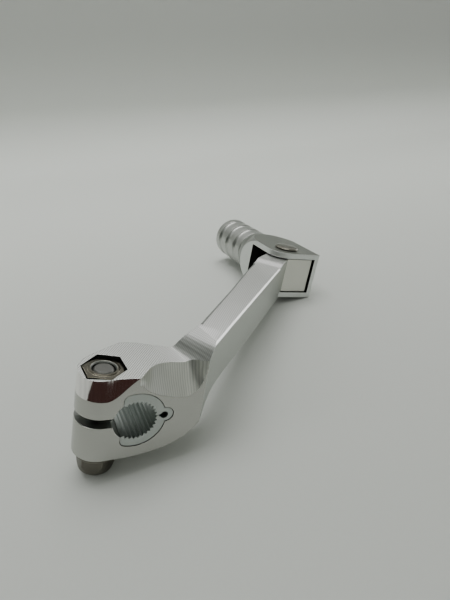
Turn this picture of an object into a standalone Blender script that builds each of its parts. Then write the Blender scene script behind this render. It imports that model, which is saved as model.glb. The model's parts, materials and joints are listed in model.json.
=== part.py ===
"""Motorcycle gear shift lever with a folding toe tip, built as nine separate pieces.

Lever frame, in which everything is modelled (millimetres in the numbers, metres in the scene):
  +X  along the clamp slot, from the pinch bolt toward the arm
  +Y  along the spline bore, from the inboard face of the boss outward
  +Z  along the pinch bolt, toward the nut
The whole lever hangs on one empty that lays it down as it rests on a flat floor.
"""

import math

import bmesh
import bpy
from mathutils import Matrix, Vector

MM = 0.001

# Rest pose: the bolt head and the lower edge of the folding tip touch the floor.
REST_TILT = math.radians(13.4)

# Clamp boss
BOLT_X, BOLT_Y = -8.0, 6.75
BOSS_END_R = 6.75
BOSS_BOTTOM = -11.8
BOSS_DEPTH = 17.2
SLIT_HALF = 1.37
BORE_R = 6.1
BORE_STEP_Y = 14.9

# Steel insert with 30 V serrations
TEETH = 30
TOOTH_OUTER_R = 5.9
TOOTH_INNER_R = 5.4
INSERT_R = 8.1
INSERT_FLAT_X = -3.54
INSERT_CORNER = (-2.04, 6.277, 1.5)
INSERT_LUG = (8.15, 0.87, 2.04)
INSERT_HOLE = (7.76, 0.73, 1.07)
INSERT_SLOT_HALF = 0.35
INSERT_FRONT = 0.15
INSERT_BACK = 14.6

# Pinch bolt and nut, M6
SHANK_R = 2.9
BOLT_HOLE_R = 3.3
BOLT_TOP = 12.7
FLANGE_R = 6.0
FLANGE_TOP = BOSS_BOTTOM - 0.2
HEAD_BOTTOM = -18.8
NUT_FLATS = 9.9
NUT_TURN = math.radians(36.5)
NUT_BOTTOM, NUT_TOP = 7.6, 12.9
POCKET_FLATS = 10.5
POCKET_FLOOR = 7.4

# Arm: its front side is a straight plane from the boss corner to the end panel
ARM_START = (18.5, 0.0)
ARM_ANGLE = math.radians(45.8)
PANEL_Y = 69.8
PANEL_RIGHT = 99.9
STOP_X = 100.5
TONGUE_TOP = 24.9
TONGUE_BOTTOM = 9.2
RELIEF_Y = 66.8

# Folding tip, round the pin axis
PIN_X, PIN_Y = 90.0, 78.0
PIN_R = 3.0
PIN_HOLE_R = 3.08
LUG_R = 7.1
EAR_BOTTOM, EAR_TOP = 6.5, 27.8
GAP_BOTTOM, GAP_TOP = 8.9, 25.4
TIP_LEFT, TIP_RIGHT = 79.2, 102.9
TIP_FRONT = 68.9
WALL_X = 100.8
PEG_X, PEG_Z = 91.5, 16.8
PEG_R = 10.5
HOLLOW_BACK = 91.0
TIP_BACK = 106.8
SHOULDER = ((16.8, 85.0), (16.2, 89.5), (15.2, 94.0), (13.8, 98.0), (12.4, 100.8), (11.2, 102.6))
STUD_R = 3.9
STUD_END = 96.8
PEG_START, PEG_END = 107.1, 136.6
GROOVES = (113.2, 121.7, 130.2)
GROOVE_HALF = 1.9
GROOVE_DEPTH = 1.0

# Torsion spring round the pin
COIL_R = 4.3
WIRE_R = 0.6
COIL_LOW, COIL_HIGH = 10.1, 16.9
COIL_TURNS = 4.75
COUNTERBORE_R = 5.3
COUNTERBORE_TOP = 18.2
LEG_HOLE_Y = 88.6


# ---------------------------------------------------------------- helpers

def clear_scene():
    for obj in list(bpy.data.objects):
        bpy.data.objects.remove(obj, do_unlink=True)


def new_collection(name):
    collection = bpy.data.collections.new(name)
    bpy.context.scene.collection.children.link(collection)
    return collection


def arc(centre_x, centre_y, radius, start_deg, end_deg, steps):
    """Points along an arc, both ends included."""
    points = []
    for step in range(steps + 1):
        angle = math.radians(start_deg + (end_deg - start_deg) * step / steps)
        points.append((centre_x + radius * math.cos(angle), centre_y + radius * math.sin(angle)))
    return points


def hexagon(centre_x, centre_y, flats, turn):
    radius = flats / math.sqrt(3.0)
    start = math.degrees(turn)
    return arc(centre_x, centre_y, radius, start, start + 300.0, 5)


def finish_mesh(mesh):
    """Weld the loose caps of a converted curve and turn every face outward."""
    work = bmesh.new()
    work.from_mesh(mesh)
    bmesh.ops.remove_doubles(work, verts=work.verts, dist=0.00001)
    bmesh.ops.recalc_face_normals(work, faces=work.faces)
    work.to_mesh(mesh)
    work.free()


def prism(name, loops, low, high, collection):
    """Flat outline (one loop, or an outer loop and holes) extruded from z = low to z = high."""
    curve = bpy.data.curves.new(name, 'CURVE')
    curve.dimensions = '2D'
    curve.fill_mode = 'BOTH'
    curve.extrude = 0.5 * (high - low) * MM
    for loop in loops:
        spline = curve.splines.new('POLY')
        spline.points.add(len(loop) - 1)
        spline.use_cyclic_u = True
        for point, (x, y) in zip(spline.points, loop):
            point.co = (x * MM, y * MM, 0.0, 1.0)
    source = bpy.data.objects.new(name + "_outline", curve)
    collection.objects.link(source)
    source.location = (0.0, 0.0, 0.5 * (low + high) * MM)
    bpy.context.view_layer.update()
    mesh = bpy.data.meshes.new_from_object(source.evaluated_get(bpy.context.evaluated_depsgraph_get()))
    mesh.name = name
    mesh.transform(source.matrix_world)
    bpy.data.objects.remove(source, do_unlink=True)
    finish_mesh(mesh)
    obj = bpy.data.objects.new(name, mesh)
    collection.objects.link(obj)
    return obj


def prism_along_y(name, loop, low, high, collection):
    """Outline given as (x, z) points, extruded from y = low to y = high."""
    obj = prism(name, [loop], low, high, collection)
    for vertex in obj.data.vertices:
        vertex.co = (vertex.co.x, vertex.co.z, vertex.co.y)
    finish_mesh(obj.data)
    return obj


def move_to_collection(obj, collection):
    for owner in list(obj.users_collection):
        owner.objects.unlink(obj)
    collection.objects.link(obj)


def box(name, low, high, collection):
    bpy.ops.mesh.primitive_cube_add(size=1.0)
    obj = bpy.context.object
    obj.name = name
    size = [(b - a) * MM for a, b in zip(low, high)]
    centre = [0.5 * (a + b) * MM for a, b in zip(low, high)]
    obj.data.transform(Matrix.Translation(centre) @ Matrix.Diagonal((*size, 1.0)))
    move_to_collection(obj, collection)
    return obj


def rod(name, start, end, radius, segments, collection):
    """Cylinder from one point to another."""
    start = Vector(start) * MM
    end = Vector(end) * MM
    axis = end - start
    bpy.ops.mesh.primitive_cylinder_add(vertices=segments, radius=radius * MM, depth=axis.length)
    obj = bpy.context.object
    obj.name = name
    turn = axis.to_track_quat('Z', 'Y').to_matrix().to_4x4()
    obj.data.transform(Matrix.Translation((start + end) * 0.5) @ turn)
    move_to_collection(obj, collection)
    return obj


def turned(name, profile, steps, collection):
    """Profile of (radius, z) points, top to bottom, screwed round the Z axis."""
    mesh = bpy.data.meshes.new(name)
    points = [(radius * MM, 0.0, z * MM) for radius, z in profile]
    mesh.from_pydata(points, [(i, i + 1) for i in range(len(points) - 1)], [])
    obj = bpy.data.objects.new(name, mesh)
    collection.objects.link(obj)
    screw = obj.modifiers.new("turn", 'SCREW')
    screw.axis = 'Z'
    screw.steps = steps
    screw.render_steps = steps
    screw.use_merge_vertices = True
    screw.merge_threshold = 0.00001
    screw.use_smooth_shade = False
    return obj


def settle(obj, matrix):
    """Replace an object by its evaluated mesh, moved by the matrix."""
    bpy.context.view_layer.update()
    evaluated = obj.evaluated_get(bpy.context.evaluated_depsgraph_get())
    mesh = bpy.data.meshes.new_from_object(evaluated)
    mesh.transform(matrix)
    finish_mesh(mesh)
    obj.modifiers.clear()
    obj.data = mesh


def combine(target, tool, operation):
    """Boolean of the target with a tool that stays in the scene as a wire."""
    modifier = target.modifiers.new(tool.name, 'BOOLEAN')
    modifier.operation = operation
    modifier.object = tool
    tool.hide_render = True
    tool.display_type = 'WIRE'


def cut(target, *tools):
    for tool in tools:
        combine(target, tool, 'DIFFERENCE')


def material(name, colour, roughness, metallic):
    result = bpy.data.materials.new(name)
    result.use_nodes = True
    shader = result.node_tree.nodes["Principled BSDF"]
    shader.inputs["Base Color"].default_value = (*colour, 1.0)
    shader.inputs["Roughness"].default_value = roughness
    shader.inputs["Metallic"].default_value = metallic
    return result


def smooth_round(obj):
    obj.data.shade_smooth()
    obj.data.set_sharp_from_angle(angle=math.radians(35.0))


# ---------------------------------------------------------------- lever arm

def lever_outline():
    """Plan view of the arm, counter-clockwise from the front of the boss."""
    slope = math.tan(ARM_ANGLE)
    corner_x = ARM_START[0] + PANEL_Y / slope
    front = [ARM_START, (corner_x, PANEL_Y), (PANEL_RIGHT, PANEL_Y)]
    stop = [(STOP_X, PANEL_Y + 1.7), (STOP_X, PIN_Y - 0.5)]
    lug = arc(PIN_X, PIN_Y, LUG_R, 40.0, 150.0, 10)
    left_side = [(77.6, 75.9), (71.5, 70.8), (66.0, 65.5), (59.1, 58.1), (42.1, 38.4), (19.3, 12.8)]
    boss_back = [(16.0, 12.2), (12.2, 13.2), (6.9, 15.2), (2.8, 16.7), (0.4, BOSS_DEPTH)]
    boss_back.append((-1.9, BOSS_DEPTH))
    boss_end = arc(BOLT_X, BOLT_Y, BOSS_END_R, 116.0, 270.0, 18)
    return front + stop + lug + left_side + boss_back + boss_end


def crown_height(x, y):
    """Gently domed top of the boss, falling toward the front and the bolt end."""
    return 13.5 - x * x / 150.0 + 0.07 * (y - 8.0) + max(0.0, x) * 0.04


# Shoulder ramp at the front and at the back of the boss: (distance from its foot line, rise)
FRONT_RISE = ((-9.0, 0.0), (-7.4, 0.7), (-6.0, 1.9), (-4.7, 4.0), (-3.5, 6.2), (-2.6, 7.3), (-0.8, 7.9))
BACK_RISE = ((-7.2, 0.0), (-6.1, 0.5), (-5.2, 1.7), (-4.3, 3.2), (-2.8, 4.9), (-0.8, 6.2), (0.8, 7.1))
BOSS_SPAN = 12.8


def boss_top_section(y):
    """One section of the boss top: crown, foot fillet, steep shoulder, rounding to the arm."""
    crown_x = (-18.0, -14.0, -10.0, -6.0, -2.0, 2.0, 6.0)
    section = [(x, crown_height(x, y)) for x in crown_x]
    foot_x = 21.1 - 0.382 * (y - 6.6)
    floor = crown_height(6.0, y)
    back = min(max(y / BOSS_SPAN, 0.0), 1.0)
    for front_point, back_point in zip(FRONT_RISE, BACK_RISE):
        along = front_point[0] + (back_point[0] - front_point[0]) * back
        rise = front_point[1] + (back_point[1] - front_point[1]) * back
        section.append((foot_x + along, floor + rise))
    section.append((foot_x + 1.6, 21.2))
    return section


def skin(name, sections, collection):
    """Closed body skinned through sections that all have the same number of (x, y, z) points."""
    work = bmesh.new()
    rings = [[work.verts.new(Vector(point) * MM) for point in section] for section in sections]
    for first, second in zip(rings, rings[1:]):
        count = len(first)
        for i in range(count):
            j = (i + 1) % count
            work.faces.new((first[i], first[j], second[j], second[i]))
    work.faces.new(rings[0])
    work.faces.new(list(reversed(rings[-1])))
    bmesh.ops.triangulate(work, faces=work.faces)
    bmesh.ops.recalc_face_normals(work, faces=work.faces)
    mesh = bpy.data.meshes.new(name)
    work.to_mesh(mesh)
    work.free()
    obj = bpy.data.objects.new(name, mesh)
    collection.objects.link(obj)
    return obj


def boss_top_cutter(collection):
    """Skin of the boss top sections, closed above the lever."""
    sections = []
    for step in range(9):
        y = -4.0 + 3.0 * step
        profile = boss_top_section(y)
        profile += [(profile[-1][0], 34.0), (profile[0][0], 34.0)]
        sections.append([(x, y, z) for x, z in profile])
    return skin("boss_top_cutter", sections, collection)


def arm_top_cutter(collection):
    """Top of the arm: a break near the root, a long slope, and a step up to the tongue."""
    profile = [(-14.0, 20.3), (6.0, 20.7), (19.4, 21.4), (45.6, 22.4), (83.0, 23.9)]
    profile += [(84.4, 24.3), (86.0, TONGUE_TOP), (125.0, TONGUE_TOP), (125.0, 40.0), (-14.0, 40.0)]
    obj = prism_along_y("arm_top_cutter", profile, -16.0, 26.0, collection)
    start = Matrix.Translation((ARM_START[0] * MM, ARM_START[1] * MM, 0.0))
    obj.data.transform(start @ Matrix.Rotation(ARM_ANGLE, 4, 'Z'))
    return obj


def underside_cutter(collection):
    """Everything below the boss and the arm, as one side profile."""
    profile = [(-20.0, BOSS_BOTTOM), (-1.5, BOSS_BOTTOM), (3.0, -11.3), (7.6, -10.4), (11.3, -9.1)]
    profile += [(14.4, -7.3), (17.3, -4.6), (19.2, -1.5), (20.4, 1.6), (22.3, 3.9), (25.2, 5.0)]
    profile += [(30.0, 5.4), (50.0, 5.5), (64.0, 6.1), (83.0, 6.7), (110.0, 6.9)]
    profile += [(110.0, -30.0), (-20.0, -30.0)]
    return prism_along_y("underside_cutter", profile, -5.0, 100.0, collection)


# Rim of the scallop on the crown and shoulder, and its foot on the front face, matched in pairs
SCALLOP_RIM = ((-4.0, 1.0, 16.0), (-1.2, -0.6, 13.6), (-0.5, -0.5, 12.9), (1.7, 2.1, 13.1), (4.1, 4.7, 13.3),
               (6.7, 6.0, 13.4), (9.6, 6.3, 13.4), (12.4, 5.9, 13.4), (14.6, 5.3, 13.6), (16.2, 3.7, 14.4),
               (17.2, 2.2, 15.1), (18.1, 0.9, 15.9), (18.7, 0.0, 16.6), (19.3, -0.6, 18.6), (20.4, -1.0, 21.0))
SCALLOP_FOOT = ((-4.0, -1.0, 14.0), (-1.2, -0.4, 12.6), (0.0, 0.0, 11.0), (1.6, 0.0, 9.7), (3.3, 0.0, 8.4),
                (5.6, 0.0, 7.4), (8.5, 0.0, 6.6), (11.4, 0.0, 6.1), (13.8, 0.0, 6.1), (15.9, 0.0, 7.2),
                (17.2, 0.0, 9.2), (17.9, 0.0, 11.6), (18.3, 0.0, 14.4), (19.3, -0.6, 17.6), (20.4, -1.0, 20.0))


def scallop_cutter(collection):
    """Straight strokes from the foot to the rim, hollowing the front corner under the shoulder."""
    sections = []
    for foot, rim in zip(SCALLOP_FOOT, SCALLOP_RIM):
        foot = Vector(foot)
        rim = Vector(rim)
        stroke = rim - foot + Vector((0.0, 0.25, 0.6))
        stroke.y = max(stroke.y, 0.3)
        stroke.normalize()
        outward = Vector((0.0, -1.0, 1.0))
        outward = (outward - outward.dot(stroke) * stroke).normalized()
        low = foot - stroke * 3.0
        high = rim + stroke * 4.0
        sections.append((low, foot, rim, high, high + outward * 9.0, low + outward * 9.0))
    return skin("scallop_cutter", sections, collection)


# Run-out of the scoop on the front face: (x, height of its lower edge)
SCOOP_EDGE = ((-7.2, 6.6), (-6.4, 7.0), (-5.0, 8.1), (-3.6, 9.6), (-2.2, 11.0), (-0.6, 12.4), (0.6, 13.6))
SCOOP_LOW = 6.4
SCOOP_HEIGHT = 7.2


def scoop_cutter(collection):
    """Steep scoop wrapped round the bolt end under the crown's rim, running out on the front."""
    path = []
    for angle in range(160, 270, 10):
        turn = math.radians(angle)
        fade = min(1.0, (angle - 160) / 25.0)
        place = (BOLT_X + BOSS_END_R * math.cos(turn), BOLT_Y + BOSS_END_R * math.sin(turn))
        path.append((place, turn, SCOOP_LOW, fade))
    path += [((x, 0.0), math.radians(270.0), low, 1.0) for x, low in SCOOP_EDGE]
    sections = []
    for (x, y), turn, low, fade in path:
        profile = ((2.5, low - 0.25), (0.03, low - 0.02), (-0.3 * fade, low + 2.4),
                   (-0.75 * fade, low + SCOOP_HEIGHT), (2.5, low + SCOOP_HEIGHT))
        sections.append([(x + math.cos(turn) * reach, y + math.sin(turn) * reach, z) for reach, z in profile])
    return skin("scoop_cutter", sections, collection)


def insert_outer(offset):
    """Outer outline of the insert from its upper flat end, clockwise to its lower flat end."""
    corner_x, corner_y, corner_r = INSERT_CORNER
    lug_x, lug_y, lug_r = INSERT_LUG
    turn = math.degrees(math.atan2(corner_y, corner_x))
    outer_r = INSERT_R + offset
    lug_far = math.hypot(lug_x, lug_y)
    lug_turn = math.degrees(math.atan2(lug_y, lug_x))
    reach = lug_r + offset
    swing = math.degrees(math.acos((outer_r ** 2 + lug_far ** 2 - reach ** 2) / (2.0 * outer_r * lug_far)))
    upper = Vector((math.cos(math.radians(lug_turn + swing)), math.sin(math.radians(lug_turn + swing))))
    lower = Vector((math.cos(math.radians(lug_turn - swing)), math.sin(math.radians(lug_turn - swing))))
    upper = upper * outer_r - Vector((lug_x, lug_y))
    lower = lower * outer_r - Vector((lug_x, lug_y))
    lug_start = math.degrees(math.atan2(upper.y, upper.x))
    lug_end = math.degrees(math.atan2(lower.y, lower.x))
    points = arc(corner_x, corner_y, corner_r + offset, 180.0, turn, 5)
    points += arc(0.0, 0.0, outer_r, turn, lug_turn + swing, 14)[1:]
    points += arc(lug_x, lug_y, reach, lug_start, lug_end, 10)[1:]
    points += arc(0.0, 0.0, outer_r, lug_turn - swing, -turn, 16)[1:]
    points += arc(corner_x, -corner_y, corner_r + offset, -turn, -180.0, 5)[1:]
    return points


def build_lever_arm(parts, cutters, finish):
    arm = prism("lever_arm", [lever_outline()], BOSS_BOTTOM - 1.0, TONGUE_TOP + 1.0, parts)
    cut(arm, boss_top_cutter(cutters), arm_top_cutter(cutters), underside_cutter(cutters))
    cut(arm, scallop_cutter(cutters), scoop_cutter(cutters))
    slit = box("slit_cutter", (-30.0, -5.0, -SLIT_HALF), (0.0, 30.0, SLIT_HALF), cutters)
    bore = rod("bore_cutter", (0.0, -5.0, 0.0), (0.0, 30.0, 0.0), BORE_R, 60, cutters)
    seat = prism_along_y("insert_seat_cutter", insert_outer(0.15), -5.0, BORE_STEP_Y, cutters)
    hole = rod("bolt_hole_cutter", (BOLT_X, BOLT_Y, -30.0), (BOLT_X, BOLT_Y, 30.0), BOLT_HOLE_R, 32, cutters)
    cut(arm, slit, bore, seat, hole)
    pocket_loop = hexagon(BOLT_X, BOLT_Y, POCKET_FLATS, NUT_TURN)
    cut(arm, prism("nut_pocket_cutter", [pocket_loop], POCKET_FLOOR, 30.0, cutters))
    relief = box("relief_cutter", (60.0, RELIEF_Y, 0.0), (110.0, 100.0, TONGUE_BOTTOM), cutters)
    pin_hole = rod("pin_hole_cutter", (PIN_X, PIN_Y, 0.0), (PIN_X, PIN_Y, 40.0), PIN_HOLE_R, 32, cutters)
    bottom = (PIN_X, PIN_Y, 0.0)
    top = (PIN_X, PIN_Y, COUNTERBORE_TOP)
    counterbore = rod("counterbore_cutter", bottom, top, COUNTERBORE_R, 40, cutters)
    leg_y = PIN_Y - COIL_R
    low = (PIN_X, leg_y - 0.9, 0.0)
    high = (PIN_X + 7.6, leg_y + 0.9, COUNTERBORE_TOP - 0.2)
    leg_slot = box("leg_slot_cutter", low, high, cutters)
    notch = box("lug_notch_cutter", (75.0, PIN_Y + 1.5, 0.0), (110.0, 100.0, 11.4), cutters)
    cut(arm, relief, pin_hole, counterbore, leg_slot, notch)
    arm.data.materials.append(finish)
    return arm


# ---------------------------------------------------------------- clamp hardware

def insert_loop():
    """C-shaped insert: outer outline, then the serrations back to the start."""
    inner = [(INSERT_FLAT_X, -math.sqrt(TOOTH_OUTER_R ** 2 - INSERT_FLAT_X ** 2))]
    hole_x, hole_y, hole_r = INSERT_HOLE
    throat = math.degrees(math.asin(INSERT_SLOT_HALF / hole_r))
    half_pitch = 180.0 / TEETH
    for step in range(-20, 21):
        if step == 1:
            inner.append((TOOTH_INNER_R + 0.3, hole_y - INSERT_SLOT_HALF))
            inner += arc(hole_x, hole_y, hole_r, throat - 180.0, 180.0 - throat, 14)
            inner.append((TOOTH_INNER_R + 0.3, hole_y + INSERT_SLOT_HALF))
            continue
        radius = TOOTH_OUTER_R if step % 2 else TOOTH_INNER_R
        angle = math.radians(step * half_pitch)
        inner.append((radius * math.cos(angle), radius * math.sin(angle)))
    inner.append((INSERT_FLAT_X, math.sqrt(TOOTH_OUTER_R ** 2 - INSERT_FLAT_X ** 2)))
    return insert_outer(0.0) + inner


def build_insert(parts, finish):
    insert = prism_along_y("spline_insert", insert_loop(), INSERT_FRONT, INSERT_BACK, parts)
    insert.data.materials.append(finish)
    return insert


def build_bolt(parts, cutters, finish):
    profile = [(0.0, BOLT_TOP), (2.1, BOLT_TOP), (SHANK_R, BOLT_TOP - 0.8), (SHANK_R, FLANGE_TOP)]
    profile += [(FLANGE_R - 0.2, FLANGE_TOP), (FLANGE_R, FLANGE_TOP - 0.3), (FLANGE_R, FLANGE_TOP - 1.1)]
    profile += [(5.0, FLANGE_TOP - 1.9), (0.0, FLANGE_TOP - 1.9)]
    bolt = turned("pinch_bolt", profile, 40, parts)
    settle(bolt, Matrix.Identity(4))
    hexhead = prism("bolt_hex", [hexagon(0.0, 0.0, 10.0, NUT_TURN)], HEAD_BOTTOM, FLANGE_TOP - 1.0, cutters)
    limit_profile = [(0.0, 0.0), (8.0, 0.0), (8.0, HEAD_BOTTOM + 2.4), (5.5, HEAD_BOTTOM + 0.7)]
    limit_profile += [(4.7, HEAD_BOTTOM), (0.0, HEAD_BOTTOM)]
    limit = turned("bolt_hex_limit", limit_profile, 40, cutters)
    settle(limit, Matrix.Identity(4))
    combine(hexhead, limit, 'INTERSECT')
    combine(bolt, hexhead, 'UNION')
    for obj in (bolt, hexhead, limit):
        obj.location = (BOLT_X * MM, BOLT_Y * MM, 0.0)
    bolt.data.materials.append(finish)
    return bolt, hexhead, limit


def build_nut(parts, cutters, finish):
    outer = hexagon(0.0, 0.0, NUT_FLATS, NUT_TURN)
    hole = arc(0.0, 0.0, SHANK_R + 0.2, 0.0, 348.75, 31)
    nut = prism("pinch_nut", [outer, hole], NUT_BOTTOM, NUT_TOP, parts)
    profile = [(0.0, NUT_TOP + 1.0), (4.4, NUT_TOP + 1.0), (2.9, NUT_TOP - 0.5), (0.0, NUT_TOP - 0.5)]
    sink = turned("nut_countersink", profile, 32, cutters)
    settle(sink, Matrix.Identity(4))
    cut(nut, sink)
    for obj in (nut, sink):
        obj.location = (BOLT_X * MM, BOLT_Y * MM, 0.0)
    nut.data.materials.append(finish)
    return nut, sink


# ---------------------------------------------------------------- folding tip

def tip_outline():
    """Plan view of the clevis, counter-clockwise from the front right corner."""
    right = [(TIP_RIGHT, TIP_FRONT), (TIP_RIGHT, TIP_BACK), (TIP_LEFT, TIP_BACK)]
    front_left = arc(TIP_LEFT + 8.0, TIP_FRONT + 8.0, 8.0, 180.0, 270.0, 10)
    return right + front_left


def build_clevis(parts, cutters, finish):
    """Square block whose rear end is turned down to the peg's diameter."""
    clevis = prism("tip_clevis", [tip_outline()], EAR_BOTTOM, EAR_TOP, parts)
    profile = [(0.0, TIP_BACK), (PEG_R - 0.4, TIP_BACK), (PEG_R, TIP_BACK - 0.4), (PEG_R, 103.4)]
    profile += list(reversed(SHOULDER)) + [(30.0, 85.0), (30.0, 60.0), (0.0, 60.0)]
    turning = turned("turned_end", profile, 64, cutters)
    upright = Matrix.Rotation(-math.pi / 2.0, 4, 'X')
    settle(turning, Matrix.Translation((PEG_X * MM, 0.0, PEG_Z * MM)) @ upright)
    combine(clevis, turning, 'INTERSECT')
    hollow = box("hollow_cutter", (60.0, 50.0, GAP_BOTTOM), (WALL_X, HOLLOW_BACK, GAP_TOP), cutters)
    pin_hole = rod("ear_hole_cutter", (PIN_X, PIN_Y, 0.0), (PIN_X, PIN_Y, 40.0), PIN_HOLE_R, 32, cutters)
    start = (PEG_X, STUD_END - 0.3, PEG_Z)
    stud_hole = rod("stud_hole_cutter", start, (PEG_X, TIP_BACK + 1.0, PEG_Z), STUD_R + 0.15, 40, cutters)
    leg_x = PIN_X + COIL_R
    leg_hole = rod("leg_hole_cutter", (leg_x, LEG_HOLE_Y, 0.0), (leg_x, LEG_HOLE_Y, 12.0), 1.0, 20, cutters)
    tools = [hollow, pin_hole, stud_hole, leg_hole]
    cut(clevis, *tools)
    clevis.data.materials.append(finish)
    return clevis, [turning] + tools


def peg_profile():
    """Radius against distance along the peg, outer end first."""
    edge = 2.2
    points = [(0.0, PEG_END)]
    points += [(y, x) for x, y in arc(PEG_END - edge, PEG_R - edge, edge, 0.0, 90.0, 6)]
    depth_r = (GROOVE_HALF ** 2 + GROOVE_DEPTH ** 2) / (2.0 * GROOVE_DEPTH)
    swing = math.degrees(math.asin(GROOVE_HALF / depth_r))
    for centre in reversed(GROOVES):
        groove = arc(centre, PEG_R - GROOVE_DEPTH + depth_r, depth_r, 270.0 + swing, 270.0 - swing, 6)
        points += [(y, x) for x, y in groove]
    points += [(PEG_R, PEG_START + 0.4), (PEG_R - 0.4, PEG_START), (STUD_R, PEG_START)]
    points += [(STUD_R, STUD_END), (0.0, STUD_END)]
    return points


def build_peg(parts, finish):
    peg = turned("toe_peg", peg_profile(), 48, parts)
    settle(peg, Matrix.Translation((PEG_X * MM, 0.0, PEG_Z * MM)) @ Matrix.Rotation(-math.pi / 2.0, 4, 'X'))
    peg.data.materials.append(finish)
    return peg


def build_pin(parts, finish):
    head_r = 5.4
    seat = EAR_TOP + 0.15
    profile = [(0.0, seat + 1.25), (2.0, seat + 1.2), (3.8, seat + 1.05), (4.7, seat + 0.85)]
    profile += [(head_r, seat + 0.45), (head_r, seat + 0.1), (head_r - 0.2, seat), (PIN_R, seat)]
    profile += [(PIN_R, 6.4), (2.3, 6.4), (2.3, 5.4), (PIN_R, 5.4), (PIN_R, 5.0), (2.6, 4.7), (0.0, 4.7)]
    pin = turned("pivot_pin", profile, 48, parts)
    settle(pin, Matrix.Translation((PIN_X * MM, PIN_Y * MM, 0.0)))
    pin.data.materials.append(finish)
    return pin


def build_clip(parts, finish):
    opening = 32.0
    outer = arc(PIN_X, PIN_Y, 4.6, 90.0 + opening, 450.0 - opening, 30)
    inner = arc(PIN_X, PIN_Y, 2.45, 450.0 - opening, 90.0 + opening, 24)
    clip = prism("pivot_clip", [outer + inner], 5.5, 6.3, parts)
    clip.data.materials.append(finish)
    return clip


def spring_path():
    """Lower leg, coil going up, upper leg, round the pin axis."""
    leg_x = PIN_X + COIL_R
    path = [(leg_x, LEG_HOLE_Y, 7.2), (leg_x, LEG_HOLE_Y, 9.0), (leg_x, LEG_HOLE_Y - 0.4, 9.8)]
    path.append((leg_x, LEG_HOLE_Y - 1.3, COIL_LOW))
    steps = 66
    for step in range(steps + 1):
        angle = 2.0 * math.pi * COIL_TURNS * (step / steps - 1.0) - math.pi / 2.0
        height = COIL_LOW + (COIL_HIGH - COIL_LOW) * step / steps
        path.append((PIN_X + COIL_R * math.cos(angle), PIN_Y - COIL_R * math.sin(angle), height))
    return path


def build_spring(parts, finish):
    curve = bpy.data.curves.new("torsion_spring", 'CURVE')
    curve.dimensions = '3D'
    curve.bevel_depth = WIRE_R * MM
    curve.bevel_resolution = 2
    curve.use_fill_caps = True
    path = spring_path()
    spline = curve.splines.new('POLY')
    spline.points.add(len(path) - 1)
    for point, (x, y, z) in zip(spline.points, path):
        point.co = (x * MM, y * MM, z * MM, 1.0)
    spring = bpy.data.objects.new("torsion_spring", curve)
    parts.objects.link(spring)
    curve.materials.append(finish)
    return spring


# ---------------------------------------------------------------- assembly

def hang(obj, parent, origin):
    """Move the object's origin to a point of the lever frame and parent it there."""
    shift = Matrix.Translation([-value * MM for value in origin])
    obj.data.transform(shift)
    obj.parent = parent


def main():
    clear_scene()
    parts = new_collection("gear_shift_lever")
    cutters = new_collection("cutters")
    aluminium = material("machined_aluminium", (0.80, 0.80, 0.78), 0.28, 1.0)
    satin = material("satin_aluminium", (0.66, 0.67, 0.66), 0.42, 1.0)
    insert_steel = material("insert_steel", (0.36, 0.40, 0.40), 0.45, 1.0)
    bolt_steel = material("bolt_steel", (0.34, 0.32, 0.29), 0.60, 0.9)
    nut_steel = material("nut_steel", (0.52, 0.49, 0.43), 0.30, 1.0)
    pin_steel = material("pin_steel", (0.48, 0.46, 0.41), 0.30, 1.0)
    spring_steel = material("spring_steel", (0.30, 0.30, 0.31), 0.35, 1.0)

    lever_frame = bpy.data.objects.new("lever_frame", None)
    tip_hinge = bpy.data.objects.new("tip_hinge", None)
    for empty in (lever_frame, tip_hinge):
        parts.objects.link(empty)
    tip_hinge.parent = lever_frame
    tip_hinge.location = (PIN_X * MM, PIN_Y * MM, 0.0)

    build_lever_arm(parts, cutters, aluminium)
    build_insert(parts, insert_steel)
    build_bolt(parts, cutters, bolt_steel)
    build_nut(parts, cutters, nut_steel)
    clevis, clevis_tools = build_clevis(parts, cutters, satin)
    peg = build_peg(parts, satin)
    pin = build_pin(parts, pin_steel)
    clip = build_clip(parts, spring_steel)
    build_spring(parts, spring_steel)

    for obj in (clevis, peg, pin, clip, *clevis_tools):
        hang(obj, tip_hinge, (PIN_X, PIN_Y, 0.0))
    for obj in list(parts.objects) + list(cutters.objects):
        if obj.parent is None and obj is not lever_frame:
            obj.parent = lever_frame
    for obj in parts.objects:
        if obj.type == 'MESH':
            smooth_round(obj)

    lever_frame.rotation_euler = (0.0, REST_TILT, 0.0)
    stand_on_floor(parts, lever_frame)


def stand_on_floor(parts, lever_frame):
    """Put the middle of the lever's footprint at the origin, standing on the floor."""
    bpy.context.view_layer.update()
    depsgraph = bpy.context.evaluated_depsgraph_get()
    points = []
    for obj in parts.objects:
        if obj.type == 'EMPTY':
            continue
        mesh = bpy.data.meshes.new_from_object(obj.evaluated_get(depsgraph))
        points += [obj.matrix_world @ vertex.co for vertex in mesh.vertices]
        bpy.data.meshes.remove(mesh)
    low = Vector([min(point[i] for point in points) for i in range(3)])
    high = Vector([max(point[i] for point in points) for i in range(3)])
    lever_frame.location -= Vector(((low.x + high.x) / 2.0, (low.y + high.y) / 2.0, low.z))
    bpy.context.view_layer.update()


main()
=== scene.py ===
"""Looks of a gear shift lever with a folding toe tip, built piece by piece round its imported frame."""

import json
import math

import bmesh
import bpy
from mathutils import Matrix, Vector


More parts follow.
